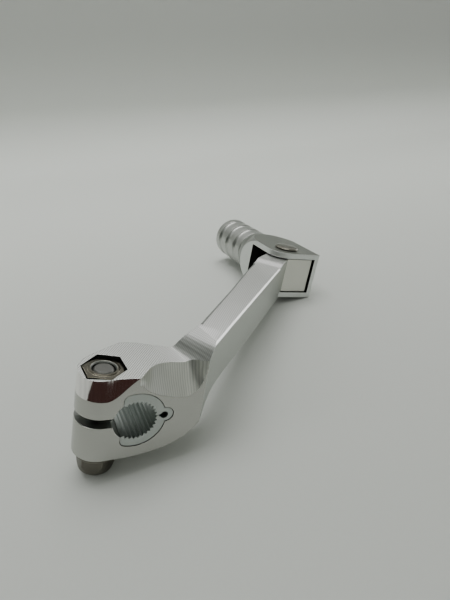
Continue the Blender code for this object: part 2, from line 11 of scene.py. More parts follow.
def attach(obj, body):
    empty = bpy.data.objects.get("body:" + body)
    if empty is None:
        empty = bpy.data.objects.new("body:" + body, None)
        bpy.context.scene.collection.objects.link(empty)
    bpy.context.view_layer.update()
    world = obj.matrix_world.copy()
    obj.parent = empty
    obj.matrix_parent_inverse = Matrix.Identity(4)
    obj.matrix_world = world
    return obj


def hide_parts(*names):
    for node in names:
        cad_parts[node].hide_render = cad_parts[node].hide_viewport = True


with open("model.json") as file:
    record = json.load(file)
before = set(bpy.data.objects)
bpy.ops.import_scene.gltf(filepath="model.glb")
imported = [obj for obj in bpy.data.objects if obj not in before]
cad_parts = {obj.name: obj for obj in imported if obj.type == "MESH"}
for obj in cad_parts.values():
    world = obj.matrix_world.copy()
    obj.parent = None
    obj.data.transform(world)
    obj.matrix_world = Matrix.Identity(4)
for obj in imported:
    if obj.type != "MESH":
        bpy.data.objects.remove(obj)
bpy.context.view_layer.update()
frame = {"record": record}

MM = 0.001

# ---------------------------------------------------------------- lever arm
# The arm is milled from one bar of aluminium: a split clamp boss with a domed crown, a steep
# shoulder, a straight tapering arm and a tongue with a flat end panel. Its outer sides are
# finished bright, and the cutter's lines stay on the crown, the shoulder, the scallop and the top.

# The lever lies tilted about Y. Its own frame has X along the slot, Y along the bore, Z along the bolt.
fold = frame["record"]["behaviour"]["joints"][0]
pin_axis = Vector(fold["axis"]).normalized()
tilt = math.atan2(pin_axis.x, pin_axis.z)
PIN_X, PIN_Y, PIN_MIDDLE = 90.0, 78.0, 17.0
lever_turn = Matrix.Rotation(tilt, 4, 'Y')
bore_centre = Vector(fold["pos_m"]) - lever_turn.to_3x3() @ (Vector((PIN_X, PIN_Y, PIN_MIDDLE)) * MM)
LEVER = Matrix.Translation(bore_centre) @ lever_turn

BOLT_X, BOLT_Y = -8.0, 6.75
BOSS_END_R = 6.75
BOSS_BOTTOM = -11.8
BOSS_DEPTH = 17.2
SLIT_HALF = 1.37
BORE_R = 6.1
SEAT_DEPTH = 14.9
BOLT_HOLE_R = 3.3
POCKET_FLATS, POCKET_FLOOR = 10.5, 7.4
NUT_TURN = 36.5
ARM_START = (18.5, 0.0)
ARM_ANGLE = math.radians(45.8)
PANEL_Y, PANEL_RIGHT = 69.8, 99.9
STOP_X = 100.5
LUG_R = 7.1
TONGUE_TOP, TONGUE_BOTTOM = 24.9, 9.2
RELIEF_Y = 66.8
PIN_HOLE_R = 3.08
COUNTERBORE_R, COUNTERBORE_TOP = 5.3, 18.2
COIL_R = 4.3


def arc(centre_x, centre_y, radius, start_deg, end_deg, steps):
    """Points along an arc, both ends included."""
    points = []
    for step in range(steps + 1):
        angle = math.radians(start_deg + (end_deg - start_deg) * step / steps)
        points.append((centre_x + radius * math.cos(angle), centre_y + radius * math.sin(angle)))
    return points


def hexagon(centre_x, centre_y, flats, start_deg):
    """Corners of a hexagon of the given size across flats."""
    return arc(centre_x, centre_y, flats / math.sqrt(3.0), start_deg, start_deg + 300.0, 5)


def clean(mesh):
    """Merge doubled points and turn every face outward."""
    work = bmesh.new()
    work.from_mesh(mesh)
    bmesh.ops.remove_doubles(work, verts=work.verts, dist=0.000002)
    bmesh.ops.recalc_face_normals(work, faces=work.faces)
    work.to_mesh(mesh)
    work.free()


def mesh_object(name, mesh, finish=None):
    """Object in the scene for a mesh or a curve, with its finish."""
    obj = bpy.data.objects.new(name, mesh)
    bpy.context.scene.collection.objects.link(obj)
    if finish:
        mesh.materials.append(finish)
    return obj


def evaluated_mesh(obj):
    """Mesh of an object with its modifiers applied."""
    bpy.context.view_layer.update()
    return bpy.data.meshes.new_from_object(obj.evaluated_get(bpy.context.evaluated_depsgraph_get()))


def prism(name, loops, low, high, finish=None):
    """Flat outline, an outer loop and any holes, extruded from z = low to z = high."""
    curve = bpy.data.curves.new(name, 'CURVE')
    curve.dimensions = '2D'
    curve.fill_mode = 'BOTH'
    curve.extrude = 0.5 * (high - low) * MM
    for loop in loops:
        spline = curve.splines.new('POLY')
        spline.points.add(len(loop) - 1)
        spline.use_cyclic_u = True
        for point, (x, y) in zip(spline.points, loop):
            point.co = (x * MM, y * MM, 0.0, 1.0)
    outline = mesh_object(name, curve)
    mesh = evaluated_mesh(outline)
    mesh.transform(Matrix.Translation((0.0, 0.0, 0.5 * (low + high) * MM)))
    bpy.data.objects.remove(outline, do_unlink=True)
    clean(mesh)
    return mesh_object(name, mesh, finish)


def prism_along_y(name, loop, low, high, finish=None):
    """Outline of (x, z) points extruded from y = low to y = high."""
    obj = prism(name, [loop], low, high, finish)
    for vertex in obj.data.vertices:
        vertex.co = (vertex.co.x, vertex.co.z, vertex.co.y)
    clean(obj.data)
    return obj


def block(name, low, high, finish=None):
    """Box between two opposite corners."""
    loop = [(low[0], low[1]), (high[0], low[1]), (high[0], high[1]), (low[0], high[1])]
    return prism(name, [loop], low[2], high[2], finish)


def rod(name, start, end, radius, sides, finish=None):
    """Cylinder from one point to another."""
    start = Vector(start) * MM
    end = Vector(end) * MM
    axis = end - start
    work = bmesh.new()
    bmesh.ops.create_cone(work, cap_ends=True, segments=sides, radius1=radius * MM,
                          radius2=radius * MM, depth=axis.length)
    mesh = bpy.data.meshes.new(name)
    work.to_mesh(mesh)
    work.free()
    lean = axis.to_track_quat('Z', 'Y').to_matrix().to_4x4()
    mesh.transform(Matrix.Translation((start + end) * 0.5) @ lean)
    return mesh_object(name, mesh, finish)


def combine(target, tools, operation):
    """Boolean with each tool in turn; the new faces keep the finish of the tool that cut them."""
    for tool in tools:
        change = target.modifiers.new(tool.name, 'BOOLEAN')
        change.operation = operation
        change.object = tool
        change.material_mode = 'TRANSFER'


def crisp_borders(mesh, blended):
    """Mark edges between two finishes as sharp, unless both finishes blend into each other."""
    work = bmesh.new()
    work.from_mesh(mesh)
    names = [slot.name if slot else "" for slot in mesh.materials]
    for edge in work.edges:
        finishes = {names[face.material_index] for face in edge.link_faces}
        if len(finishes) > 1 and not finishes <= blended:
            edge.smooth = False
    work.to_mesh(mesh)
    work.free()


def finished_piece(name, source, tools, matrix, sharp_deg=32.0, blended=frozenset()):
    """Plain mesh object from a source object and its modifiers, placed by the matrix."""
    mesh = evaluated_mesh(source)
    mesh.name = name
    mesh.transform(matrix)
    for used in [source] + list(tools):
        bpy.data.objects.remove(used, do_unlink=True)
    mesh.shade_smooth()
    mesh.set_sharp_from_angle(angle=math.radians(sharp_deg))
    crisp_borders(mesh, blended)
    return mesh_object(name, mesh)


def new_group(name, inputs, outputs):
    """Empty shader node group with its sockets, and its input and output nodes."""
    group = bpy.data.node_groups.new(name, 'ShaderNodeTree')
    for label, kind, value in inputs:
        socket = group.interface.new_socket(label, in_out='INPUT', socket_type=kind)
        if value is not None:
            socket.default_value = value
    for label, kind in outputs:
        group.interface.new_socket(label, in_out='OUTPUT', socket_type=kind)
    return group, group.nodes.new('NodeGroupInput'), group.nodes.new('NodeGroupOutput')


def chain(tree, kind, settings=None, values=None, links=None):
    """Node with its settings, socket values and incoming links."""
    node = tree.nodes.new(kind)
    for key, value in (settings or {}).items():
        setattr(node, key, value)
    for key, value in (values or {}).items():
        node.inputs[key].default_value = value
    for key, socket in (links or {}).items():
        tree.links.new(socket, node.inputs[key])
    return node


def build_cutter_lines():
    """Height of parallel cutter lines in the lever's own frame, slightly uneven."""
    sockets = [("Spacing", 'NodeSocketFloat', 0.0005), ("Turn", 'NodeSocketFloat', 0.0),
               ("Wander", 'NodeSocketFloat', 0.3)]
    group, given, result = new_group("cutter_lines", sockets, [("Height", 'NodeSocketFloat')])
    place = chain(group, 'ShaderNodeTexCoord')
    level = chain(group, 'ShaderNodeMapping', values={"Rotation": (0.0, -tilt, 0.0)},
                  links={"Vector": place.outputs["Object"]})
    turned = chain(group, 'ShaderNodeVectorRotate', {"rotation_type": 'Z_AXIS'},
                   links={"Vector": level.outputs[0], "Angle": given.outputs["Turn"]})
    apart = chain(group, 'ShaderNodeSeparateXYZ', links={0: turned.outputs[0]})
    count = chain(group, 'ShaderNodeMath', {"operation": 'DIVIDE'},
                  links={0: apart.outputs[0], 1: given.outputs["Spacing"]})
    drift = chain(group, 'ShaderNodeTexNoise', values={"Scale": 700.0, "Detail": 2.0},
                  links={"Vector": level.outputs[0]})
    swing = chain(group, 'ShaderNodeMath', {"operation": 'MULTIPLY'},
                  links={0: drift.outputs[0], 1: given.outputs["Wander"]})
    total = chain(group, 'ShaderNodeMath', {"operation": 'ADD'},
                  links={0: count.outputs[0], 1: swing.outputs[0]})
    phase = chain(group, 'ShaderNodeMath', {"operation": 'MULTIPLY'}, {1: 2.0 * math.pi},
                  {0: total.outputs[0]})
    wave = chain(group, 'ShaderNodeMath', {"operation": 'SINE'}, links={0: phase.outputs[0]})
    height = chain(group, 'ShaderNodeMapRange', values={"From Min": -1.0, "From Max": 1.0},
                   links={"Value": wave.outputs[0]})
    group.links.new(height.outputs[0], result.inputs["Height"])
    return group


def build_handled_metal():
    """Faint blotches and fine grit of handled metal: a roughness, a tint and a small height."""
    sockets = [("Roughness", 'NodeSocketFloat', 0.3), ("Variation", 'NodeSocketFloat', 0.08),
               ("Grit Scale", 'NodeSocketFloat', 3000.0),
               ("Light Tint", 'NodeSocketColor', (0.9, 0.9, 0.9, 1.0)),
               ("Dark Tint", 'NodeSocketColor', (0.8, 0.8, 0.8, 1.0))]
    outputs = [("Roughness", 'NodeSocketFloat'), ("Colour", 'NodeSocketColor'), ("Height", 'NodeSocketFloat')]
    group, given, result = new_group("handled_metal", sockets, outputs)
    place = chain(group, 'ShaderNodeTexCoord')
    blotch = chain(group, 'ShaderNodeTexNoise', values={"Scale": 140.0, "Detail": 4.0, "Roughness": 0.6},
                   links={"Vector": place.outputs["Object"]})
    grit = chain(group, 'ShaderNodeTexNoise', values={"Detail": 3.0, "Roughness": 0.7},
                 links={"Vector": place.outputs["Object"], "Scale": given.outputs["Grit Scale"]})
    centred = chain(group, 'ShaderNodeMath', {"operation": 'SUBTRACT'}, {1: 0.5}, {0: blotch.outputs[0]})
    change = chain(group, 'ShaderNodeMath', {"operation": 'MULTIPLY'},
                   links={0: centred.outputs[0], 1: given.outputs["Variation"]})
    rough = chain(group, 'ShaderNodeMath', {"operation": 'ADD', "use_clamp": True},
                  links={0: change.outputs[0], 1: given.outputs["Roughness"]})
    tint = chain(group, 'ShaderNodeMix', {"data_type": 'RGBA'},
                 links={"Factor": blotch.outputs[0], "A": given.outputs["Dark Tint"],
                        "B": given.outputs["Light Tint"]})
    group.links.new(rough.outputs[0], result.inputs["Roughness"])
    group.links.new(tint.outputs["Result"], result.inputs["Colour"])
    group.links.new(grit.outputs[0], result.inputs["Height"])
    return group


def build_edge_highlight_and_bevel():
    """Mask that rises to one along an edge, inner or outer, where a painted highlight goes, and the softened
    normal there.
    """
    group, given, result = new_group("edge_highlight_and_bevel", [("Radius", 'NodeSocketFloat', 0.0002)],
                                     [("Mask", 'NodeSocketFloat'), ("Normal", 'NodeSocketVector')])
    soft = chain(group, 'ShaderNodeBevel', {"samples": 6}, links={"Radius": given.outputs["Radius"]})
    flat = group.nodes.new('ShaderNodeNewGeometry')
    agree = chain(group, 'ShaderNodeVectorMath', {"operation": 'DOT_PRODUCT'},
                  links={0: soft.outputs[0], 1: flat.outputs["Normal"]})
    mask = chain(group, 'ShaderNodeMapRange', values={"From Min": 0.985, "From Max": 0.90},
                 links={"Value": agree.outputs["Value"]})
    group.links.new(mask.outputs[0], result.inputs["Mask"])
    group.links.new(soft.outputs[0], result.inputs["Normal"])
    return group


edge_highlight_and_bevel = build_edge_highlight_and_bevel()
cutter_lines = build_cutter_lines()
handled_metal = build_handled_metal()


def metal(name, light, dark, roughness, variation=0.08, grit=3000.0, grit_depth=0.0, lines=(),
          edge=0.25, shine=1.9):
    """Metal with handled variation, soft edges and (spacing mm, turn deg, depth mm, shade) cutter lines.

    Edges get a painted highlight, as many times brighter than the light tint as shine says."""
    made = bpy.data.materials.new(name)
    made.use_nodes = True
    tree = made.node_tree
    shader = tree.nodes["Principled BSDF"]
    shader.inputs["Metallic"].default_value = 1.0
    base = chain(tree, 'ShaderNodeGroup', {"node_tree": handled_metal},
                 {"Roughness": roughness, "Variation": variation, "Grit Scale": grit,
                  "Light Tint": (*light, 1.0), "Dark Tint": (*dark, 1.0)})
    colour = base.outputs["Colour"]
    tree.links.new(base.outputs["Roughness"], shader.inputs["Roughness"])
    edge_glint = chain(tree, 'ShaderNodeGroup', {"node_tree": edge_highlight_and_bevel}, {"Radius": edge * MM})
    normal = edge_glint.outputs["Normal"]
    heights = [(base.outputs["Height"], grit_depth)] if grit_depth else []
    for spacing, turn, depth, shade in lines:
        cut = chain(tree, 'ShaderNodeGroup', {"node_tree": cutter_lines},
                    {"Spacing": spacing * MM, "Turn": math.radians(turn)})
        heights.append((cut.outputs["Height"], depth))
        shaded = chain(tree, 'ShaderNodeMix', {"data_type": 'RGBA', "blend_type": 'MULTIPLY'},
                       {"Factor": shade}, {"A": colour, "B": cut.outputs["Height"]})
        colour = shaded.outputs["Result"]
    # Painted highlight: along the edges the colour is mixed toward a tint brighter than the metal.
    highlight_colour = (*(min(1.0, channel * shine) for channel in light), 1.0)
    highlighted = chain(tree, 'ShaderNodeMix', {"data_type": 'RGBA'}, {"B": highlight_colour},
                  {"Factor": edge_glint.outputs["Mask"], "A": colour})
    tree.links.new(highlighted.outputs["Result"], shader.inputs["Base Color"])
    for socket, depth in heights:
        normal = chain(tree, 'ShaderNodeBump', values={"Distance": depth * MM},
                       links={"Height": socket, "Normal": normal}).outputs["Normal"]
    tree.links.new(normal, shader.inputs["Normal"])
    return made


# The faces of the one aluminium bar get tints of their own. Besides the real difference between bright and
# milled faces, each tint is set to how bright that face looks, so they carry painted light and shade; the
# outer sides, darkest of them, carry painted shade.
bright_side_shaded = metal("bright_side_shaded", (0.50, 0.50, 0.47), (0.44, 0.44, 0.415), 0.20, 0.05)
arm_side_finish = metal("arm_side_finish", (0.58, 0.60, 0.57), (0.50, 0.52, 0.49), 0.40, 0.06)
panel_finish = metal("panel_finish", (0.66, 0.66, 0.60), (0.60, 0.60, 0.545), 0.30, 0.05)
bright_edge = metal("bright_edge", (0.99, 0.99, 0.98), (0.96, 0.96, 0.95), 0.30, 0.03)
crown_finish = metal("crown_finish", (0.84, 0.86, 0.83), (0.76, 0.78, 0.75), 0.26, 0.05,
                     lines=((0.55, 38.0, 0.020, 0.34), (0.55, -50.0, 0.014, 0.26)))
shoulder_finish = metal("shoulder_finish", (0.78, 0.79, 0.77), (0.70, 0.71, 0.69), 0.36, 0.06,
                        lines=((0.60, 62.0, 0.016, 0.22), (0.60, -20.0, 0.010, 0.16)))
scallop_finish = metal("scallop_finish", (0.90, 0.91, 0.87), (0.83, 0.84, 0.80), 0.34, 0.05,
                       lines=((0.65, 0.0, 0.014, 0.24),))
scoop_finish = metal("scoop_finish", (0.92, 0.90, 0.89), (0.86, 0.84, 0.83), 0.07, 0.04,
                     lines=((0.9, 0.0, 0.003, 0.12),), edge=0.08)
top_finish = metal("top_finish", (0.98, 0.98, 0.97), (0.92, 0.92, 0.91), 0.30, 0.06,
                   lines=((0.60, 38.0, 0.018, 0.24), (0.60, -40.0, 0.008, 0.10)))
back_edge = metal("back_edge", (0.30, 0.31, 0.30), (0.26, 0.27, 0.26), 0.35, 0.05)
# Holes, the slit and the notches under the tongue get a tint much darker than the outer aluminium: painted
# shade over the bored surface.
bored_and_shaded = metal("bored_and_shaded", (0.34, 0.35, 0.33), (0.26, 0.27, 0.26), 0.40, 0.08,
                     lines=((0.40, 90.0, 0.006, 0.2),))
# Near black painted shade for the gap round the insert and the walls of the nut pocket.
gap_shade = metal("gap_shade", (0.05, 0.05, 0.05), (0.03, 0.03, 0.03), 0.50, 0.05)


def lever_outline():
    """Plan view of the arm, counter-clockwise from the front of the boss."""
    corner_x = ARM_START[0] + PANEL_Y / math.tan(ARM_ANGLE)
    front = [ARM_START, (corner_x, PANEL_Y), (PANEL_RIGHT, PANEL_Y)]
    stop = [(STOP_X, PANEL_Y + 1.7), (STOP_X, PIN_Y - 0.5)]
    lug = arc(PIN_X, PIN_Y, LUG_R, 40.0, 150.0, 28)
    left_side = [(77.6, 75.9), (71.5, 70.8), (66.0, 65.5), (59.1, 58.1), (42.1, 38.4), (19.3, 12.8)]
    boss_back = [(16.0, 12.2), (12.2, 13.2), (6.9, 15.2), (2.8, 16.7), (0.4, BOSS_DEPTH)]
    boss_back.append((-1.9, BOSS_DEPTH))
    boss_end = arc(BOLT_X, BOLT_Y, BOSS_END_R, 116.0, 270.0, 72)
    return front + stop + lug + left_side + boss_back + boss_end


CROWN_TOP, CROWN_MIDDLE_Y = 13.5, 8.0
CROWN_DOME = 150.0
FALL_TO_FRONT, RISE_TO_ARM = 0.07, 0.04


def crown_height(x, y):
    """Gently domed top of the boss, falling toward the front and the bolt end."""
    dome = CROWN_TOP - x * x / CROWN_DOME
    return dome + FALL_TO_FRONT * (y - CROWN_MIDDLE_Y) + max(0.0, x) * RISE_TO_ARM


def smooth_through(points, steps):
    """Catmull-Rom curve through the points."""
    path = []
    ends = [points[0]] + list(points) + [points[-1]]
    for before, start, end, after in zip(ends, ends[1:], ends[2:], ends[3:]):
        for step in range(steps):
            t = step / steps
            path.append(tuple(0.5 * (2 * b + (c - a) * t + (2 * a - 5 * b + 4 * c - d) * t * t
                                     + (3 * b - a - 3 * c + d) * t * t * t)
                              for a, b, c, d in zip(before, start, end, after)))
    path.append(points[-1])
    return path


# Rise of the shoulder above the crown, as (place before its end, height), at the front and the back
FRONT_RISE = ((-11.0, 0.0), (-9.0, 0.15), (-7.4, 0.7), (-6.0, 1.9), (-4.7, 4.0), (-3.5, 6.2),
              (-2.6, 7.3), (-0.8, 7.9))
BACK_RISE = ((-11.0, 0.0), (-7.2, 0.1), (-6.1, 0.5), (-5.2, 1.7), (-4.3, 3.2), (-2.8, 4.9),
             (-0.8, 6.2), (0.8, 7.1))
BACK_RISE_Y = 12.8
SHOULDER_END, SHOULDER_MIDDLE_Y, SHOULDER_SLANT = 21.1, 6.6, 0.382
CROWN_FROM, CROWN_TO = -18, 5
ARM_ROOT = (1.6, 21.2)
ABOVE_LEVER = 34.0
LOFT_START, LOFT_STEP, LOFT_SECTIONS = -4.0, 0.8, 31


def boss_top_section(y):
    """Closed section of the space above the boss: crown, foot fillet, steep shoulder, arm root."""
    section = [(x, crown_height(x, y)) for x in range(CROWN_FROM, CROWN_TO + 1)]
    end_x = SHOULDER_END - SHOULDER_SLANT * (y - SHOULDER_MIDDLE_Y)
    floor = crown_height(CROWN_TO, y)
    back = min(max(y / BACK_RISE_Y, 0.0), 1.0)
    ramp = [(a + (c - a) * back, b + (d - b) * back) for (a, b), (c, d) in zip(FRONT_RISE, BACK_RISE)]
    section += [(end_x + u, floor + rise) for u, rise in smooth_through(ramp, 4)]
    section.append((end_x + ARM_ROOT[0], ARM_ROOT[1]))
    section += [(section[-1][0], ABOVE_LEVER), (section[0][0], ABOVE_LEVER)]
    return [(x, y, z) for x, z in section]


def skin_cutter(name, sections, finish, second_finish=None, second_from=0):
    """Closed body skinned through sections that all have the same number of (x, y, z) points.

    The strips from second_from on carry the second finish, where there is one."""
    work = bmesh.new()
    rings = [[work.verts.new(Vector(point) * MM) for point in section] for section in sections]
    for first, second in zip(rings, rings[1:]):
        for i in range(len(first)):
            j = (i + 1) % len(first)
            face = work.faces.new((first[i], first[j], second[j], second[i]))
            face.material_index = 1 if second_finish and i >= second_from else 0
    work.faces.new(rings[0])
    work.faces.new(list(reversed(rings[-1])))
    bmesh.ops.triangulate(work, faces=work.faces)
    bmesh.ops.recalc_face_normals(work, faces=work.faces)
    mesh = bpy.data.meshes.new(name)
    work.to_mesh(mesh)
    work.free()
    cutter = mesh_object(name, mesh, finish)
    if second_finish:
        mesh.materials.append(second_finish)
    return cutter


def boss_top_cutter():
    """Loft of sections from before the boss to behind it; the shoulder has its own finish."""
    sections = [boss_top_section(LOFT_START + LOFT_STEP * step) for step in range(LOFT_SECTIONS)]
    crown_points = CROWN_TO - CROWN_FROM + 1
    return skin_cutter("boss_top_cutter", sections, crown_finish, shoulder_finish, crown_points)


def along_arm(obj):
    """Turn an object made along X onto the arm's front side."""
    start = Matrix.Translation((ARM_START[0] * MM, ARM_START[1] * MM, 0.0))
    obj.data.transform(start @ Matrix.Rotation(ARM_ANGLE, 4, 'Z'))
    return obj


ARM_TOP = ((-14.0, 20.3), (6.0, 20.7), (19.4, 21.4), (45.6, 22.4), (82.6, 23.85), (83.6, 24.0), (84.8, 24.45),
           (86.0, 24.8), (87.0, TONGUE_TOP), (125.0, TONGUE_TOP))


def arm_top_cutter():
    """Top of the arm: a break near the root, a long slope, and a soft step up to the tongue."""
    profile = list(ARM_TOP) + [(125.0, 40.0), (-14.0, 40.0)]
    return along_arm(prism_along_y("arm_top_cutter", profile, -16.0, 26.0, top_finish))


def arm_edge_cutter():
    """Bright chamfer along the front top edge of the arm, following its slope."""
    size = 0.5
    sections = []
    for along, height in ((0.0, 20.5),) + ARM_TOP[1:5]:
        section = ((-1.0, -1.0 - size), (-1.0, 1.0), (1.0 + size, 1.0))
        sections.append([(along, across, height + up) for across, up in section])
    return along_arm(skin_cutter("arm_edge_cutter", sections, bright_edge))


def back_edge_cutter():
    """Broader chamfer along the back top edge of the arm, dark because it faces away from the light."""
    sections = []
    for x, y, height in ((20.4, 14.0, 20.9), (42.1, 38.4, 22.0), (59.1, 58.1, 23.0), (66.0, 65.5, 23.5)):
        corner = Vector((x, y, height))
        across = Vector((-math.sin(ARM_ANGLE), math.cos(ARM_ANGLE), 0.0))
        sections.append([corner - across * 0.9, corner + across * 1.0 - Vector((0.0, 0.0, 0.9)),
                         corner + across * 1.0 + Vector((0.0, 0.0, 1.0)),
                         corner - across * 0.9 + Vector((0.0, 0.0, 1.0))])
    return skin_cutter("back_edge_cutter", sections, back_edge)


def underside_cutter():
    """Everything below the boss and the arm, as one side profile."""
    belly = [(-1.5, BOSS_BOTTOM), (3.0, -11.3), (7.6, -10.4), (11.3, -9.1), (14.4, -7.3), (17.3, -4.6)]
    belly += [(19.2, -1.5), (20.4, 1.6), (22.3, 3.9), (25.2, 5.0), (30.0, 5.4)]
    profile = [(-20.0, BOSS_BOTTOM)] + smooth_through(belly, 5)
    profile += [(50.0, 5.5), (64.0, 6.1), (83.0, 6.7), (110.0, 6.9), (110.0, -30.0), (-20.0, -30.0)]
    return prism_along_y("underside_cutter", profile, -5.0, 100.0, bright_side_shaded)


# Rim and foot of the scallop, point for point, running off the lever at both ends
SCALLOP_TOP = ((-4.0, 1.0, 16.0), (-1.2, -0.6, 13.6), (-0.5, -0.5, 12.9), (1.7, 2.1, 13.1),
               (4.1, 4.7, 13.3), (6.7, 6.0, 13.4), (9.6, 6.3, 13.4), (12.4, 5.9, 13.4),
               (14.6, 5.3, 13.6), (16.2, 3.7, 14.4), (17.2, 2.2, 15.1), (18.1, 0.9, 15.9),
               (18.7, 0.0, 16.6), (19.3, -0.6, 18.6), (20.4, -1.0, 21.0))
SCALLOP_FOOT = ((-4.0, -1.0, 14.0), (-1.2, -0.4, 12.6), (0.0, 0.0, 11.0), (1.6, 0.0, 9.7),
                (3.3, 0.0, 8.4), (5.6, 0.0, 7.4), (8.5, 0.0, 6.6), (11.4, 0.0, 6.1),
                (13.8, 0.0, 6.1), (15.9, 0.0, 7.2), (17.2, 0.0, 9.2), (17.9, 0.0, 11.6),
                (18.3, 0.0, 14.4), (19.3, -0.6, 17.6), (20.4, -1.0, 20.0))


STROKE_LEAN = Vector((0.0, 0.25, 0.6))
LEAST_INWARD = 0.3
RUN_BELOW, RUN_ABOVE, CHIP_ROOM = 3.0, 4.0, 9.0
STROKE_HOLLOW = 0.05


def scallop_cutter():
    """Hollow milled in the front corner: near straight strokes from its foot up to its rim."""
    sections = []
    for foot, rim in zip(smooth_through(SCALLOP_FOOT, 5), smooth_through(SCALLOP_TOP, 5)):
        foot, rim = Vector(foot), Vector(rim)
        stroke = rim - foot + STROKE_LEAN
        stroke.y = max(stroke.y, LEAST_INWARD)
        stroke.normalize()
        outward = Vector((0.0, -1.0, 1.0))
        outward = (outward - outward.dot(stroke) * stroke).normalized()
        middle = (foot + rim) * 0.5 - outward * STROKE_HOLLOW * (rim - foot).length
        low, high = foot - stroke * RUN_BELOW, rim + stroke * RUN_ABOVE
        sections.append((low, foot, middle, rim, high, high + outward * CHIP_ROOM,
                         low + outward * CHIP_ROOM))
    return skin_cutter("scallop_cutter", sections, scallop_finish)


SCOOP_LOW, SCOOP_HEIGHT = 6.4, 7.2
SCOOP_START_DEG, SCOOP_END_DEG, SCOOP_FADE_DEG = 160, 270, 25
SCOOP_EDGE = ((-7.2, 6.6), (-6.4, 7.0), (-5.0, 8.1), (-3.6, 9.6), (-2.2, 11.0), (-0.6, 12.4), (0.6, 13.6))
OUTSIDE = 2.5


def scoop_cutter():
    """Steep scoop wrapped round the bolt end under the crown's rim, running out on the front."""
    path = []
    for angle in range(SCOOP_START_DEG, SCOOP_END_DEG, 5):
        turn = math.radians(angle)
        path.append((BOLT_X + BOSS_END_R * math.cos(turn), BOLT_Y + BOSS_END_R * math.sin(turn), angle,
                     SCOOP_LOW))
    path += [(x, 0.0, SCOOP_END_DEG, low) for x, low in smooth_through(SCOOP_EDGE, 3)]
    sections = []
    for x, y, angle, low in path:
        out_x, out_y = math.cos(math.radians(angle)), math.sin(math.radians(angle))
        fade = min(1.0, max(0.0, (angle - SCOOP_START_DEG) / SCOOP_FADE_DEG))
        high = low + SCOOP_HEIGHT
        profile = [(OUTSIDE, low - 0.25), (0.03, low - 0.02), (-0.10 * fade, low + 0.8),
                   (-0.30 * fade, low + 2.4), (-0.55 * fade, low + 4.4), (-0.75 * fade, high),
                   (OUTSIDE, high)]
        sections.append([(x + out_x * reach, y + out_y * reach, z) for reach, z in profile])
    return skin_cutter("scoop_cutter", sections, scoop_finish)


# Outline of the steel insert, shared by its seat in the boss
INSERT_R = 8.1
INSERT_FLAT_X = -3.54
INSERT_CORNER = (-2.04, 6.277, 1.5)
INSERT_LUG = (8.15, 0.87, 2.04)


def insert_outer(offset):
    """Outer outline of the insert from its upper flat end, clockwise to its lower flat end."""
    corner_x, corner_y, corner_r = INSERT_CORNER
    lug_x, lug_y, lug_r = INSERT_LUG
    turn = math.degrees(math.atan2(corner_y, corner_x))
    outer_r = INSERT_R + offset
    lug_far = math.hypot(lug_x, lug_y)
    lug_turn = math.degrees(math.atan2(lug_y, lug_x))
    reach = lug_r + offset
    swing = math.degrees(math.acos((outer_r ** 2 + lug_far ** 2 - reach ** 2) / (2.0 * outer_r * lug_far)))
    ends = []
    for side in (lug_turn + swing, lug_turn - swing):
        x = outer_r * math.cos(math.radians(side)) - lug_x
        y = outer_r * math.sin(math.radians(side)) - lug_y
        ends.append(math.degrees(math.atan2(y, x)))
    points = arc(corner_x, corner_y, corner_r + offset, 180.0, turn, 8)
    points += arc(0.0, 0.0, outer_r, turn, lug_turn + swing, 40)[1:]
    points += arc(lug_x, lug_y, reach, ends[0], ends[1], 24)[1:]
    points += arc(0.0, 0.0, outer_r, lug_turn - swing, -turn, 44)[1:]
    points += arc(corner_x, -corner_y, corner_r + offset, -turn, -180.0, 8)[1:]
    return points


arm_source = prism("lever_source", [lever_outline()], BOSS_BOTTOM - 1.0, TONGUE_TOP + 1.0, bright_side_shaded)
arm_source.data.materials.append(arm_side_finish)
arm_source.data.materials.append(panel_finish)
front_side = Vector((math.sin(ARM_ANGLE), -math.cos(ARM_ANGLE), 0.0))
for face in arm_source.data.polygons:
    if face.normal.dot(front_side) > 0.99:
        face.material_index = 1
    elif face.normal.y < -0.9 and face.center.y > 60.0 * MM:
        face.material_index = 2
pocket_loop = hexagon(BOLT_X, BOLT_Y, POCKET_FLATS, NUT_TURN)
leg_y = PIN_Y - COIL_R
arm_tools = [
    boss_top_cutter(),
    arm_top_cutter(),
    arm_edge_cutter(),
    back_edge_cutter(),
    underside_cutter(),
    scallop_cutter(),
    scoop_cutter(),
    block("slit_cutter", (-30.0, -5.0, -SLIT_HALF), (0.0, 30.0, SLIT_HALF), bored_and_shaded),
    rod("bore_cutter", (0.0, -5.0, 0.0), (0.0, 30.0, 0.0), BORE_R, 120, bored_and_shaded),
    prism_along_y("insert_seat_cutter", insert_outer(0.24), -5.0, SEAT_DEPTH, gap_shade),
    rod("bolt_hole_cutter", (BOLT_X, BOLT_Y, -30.0), (BOLT_X, BOLT_Y, 30.0), BOLT_HOLE_R, 64, bored_and_shaded),
    prism("nut_pocket_cutter", [pocket_loop], POCKET_FLOOR, 30.0, gap_shade),
    block("relief_cutter", (60.0, RELIEF_Y, 0.0), (110.0, 100.0, TONGUE_BOTTOM), bored_and_shaded),
    rod("pin_hole_cutter", (PIN_X, PIN_Y, 0.0), (PIN_X, PIN_Y, 40.0), PIN_HOLE_R, 64, bored_and_shaded),
    rod("counterbore_cutter", (PIN_X, PIN_Y, 0.0), (PIN_X, PIN_Y, COUNTERBORE_TOP), COUNTERBORE_R, 80,
        bored_and_shaded),
    block("leg_slot_cutter", (PIN_X, leg_y - 0.9, 0.0), (PIN_X + 7.6, leg_y + 0.9, COUNTERBORE_TOP - 0.2),
          bored_and_shaded),
    block("lug_notch_cutter", (75.0, PIN_Y + 1.5, 0.0), (110.0, 100.0, 11.4), bored_and_shaded),
]
combine(arm_source, arm_tools, 'DIFFERENCE')
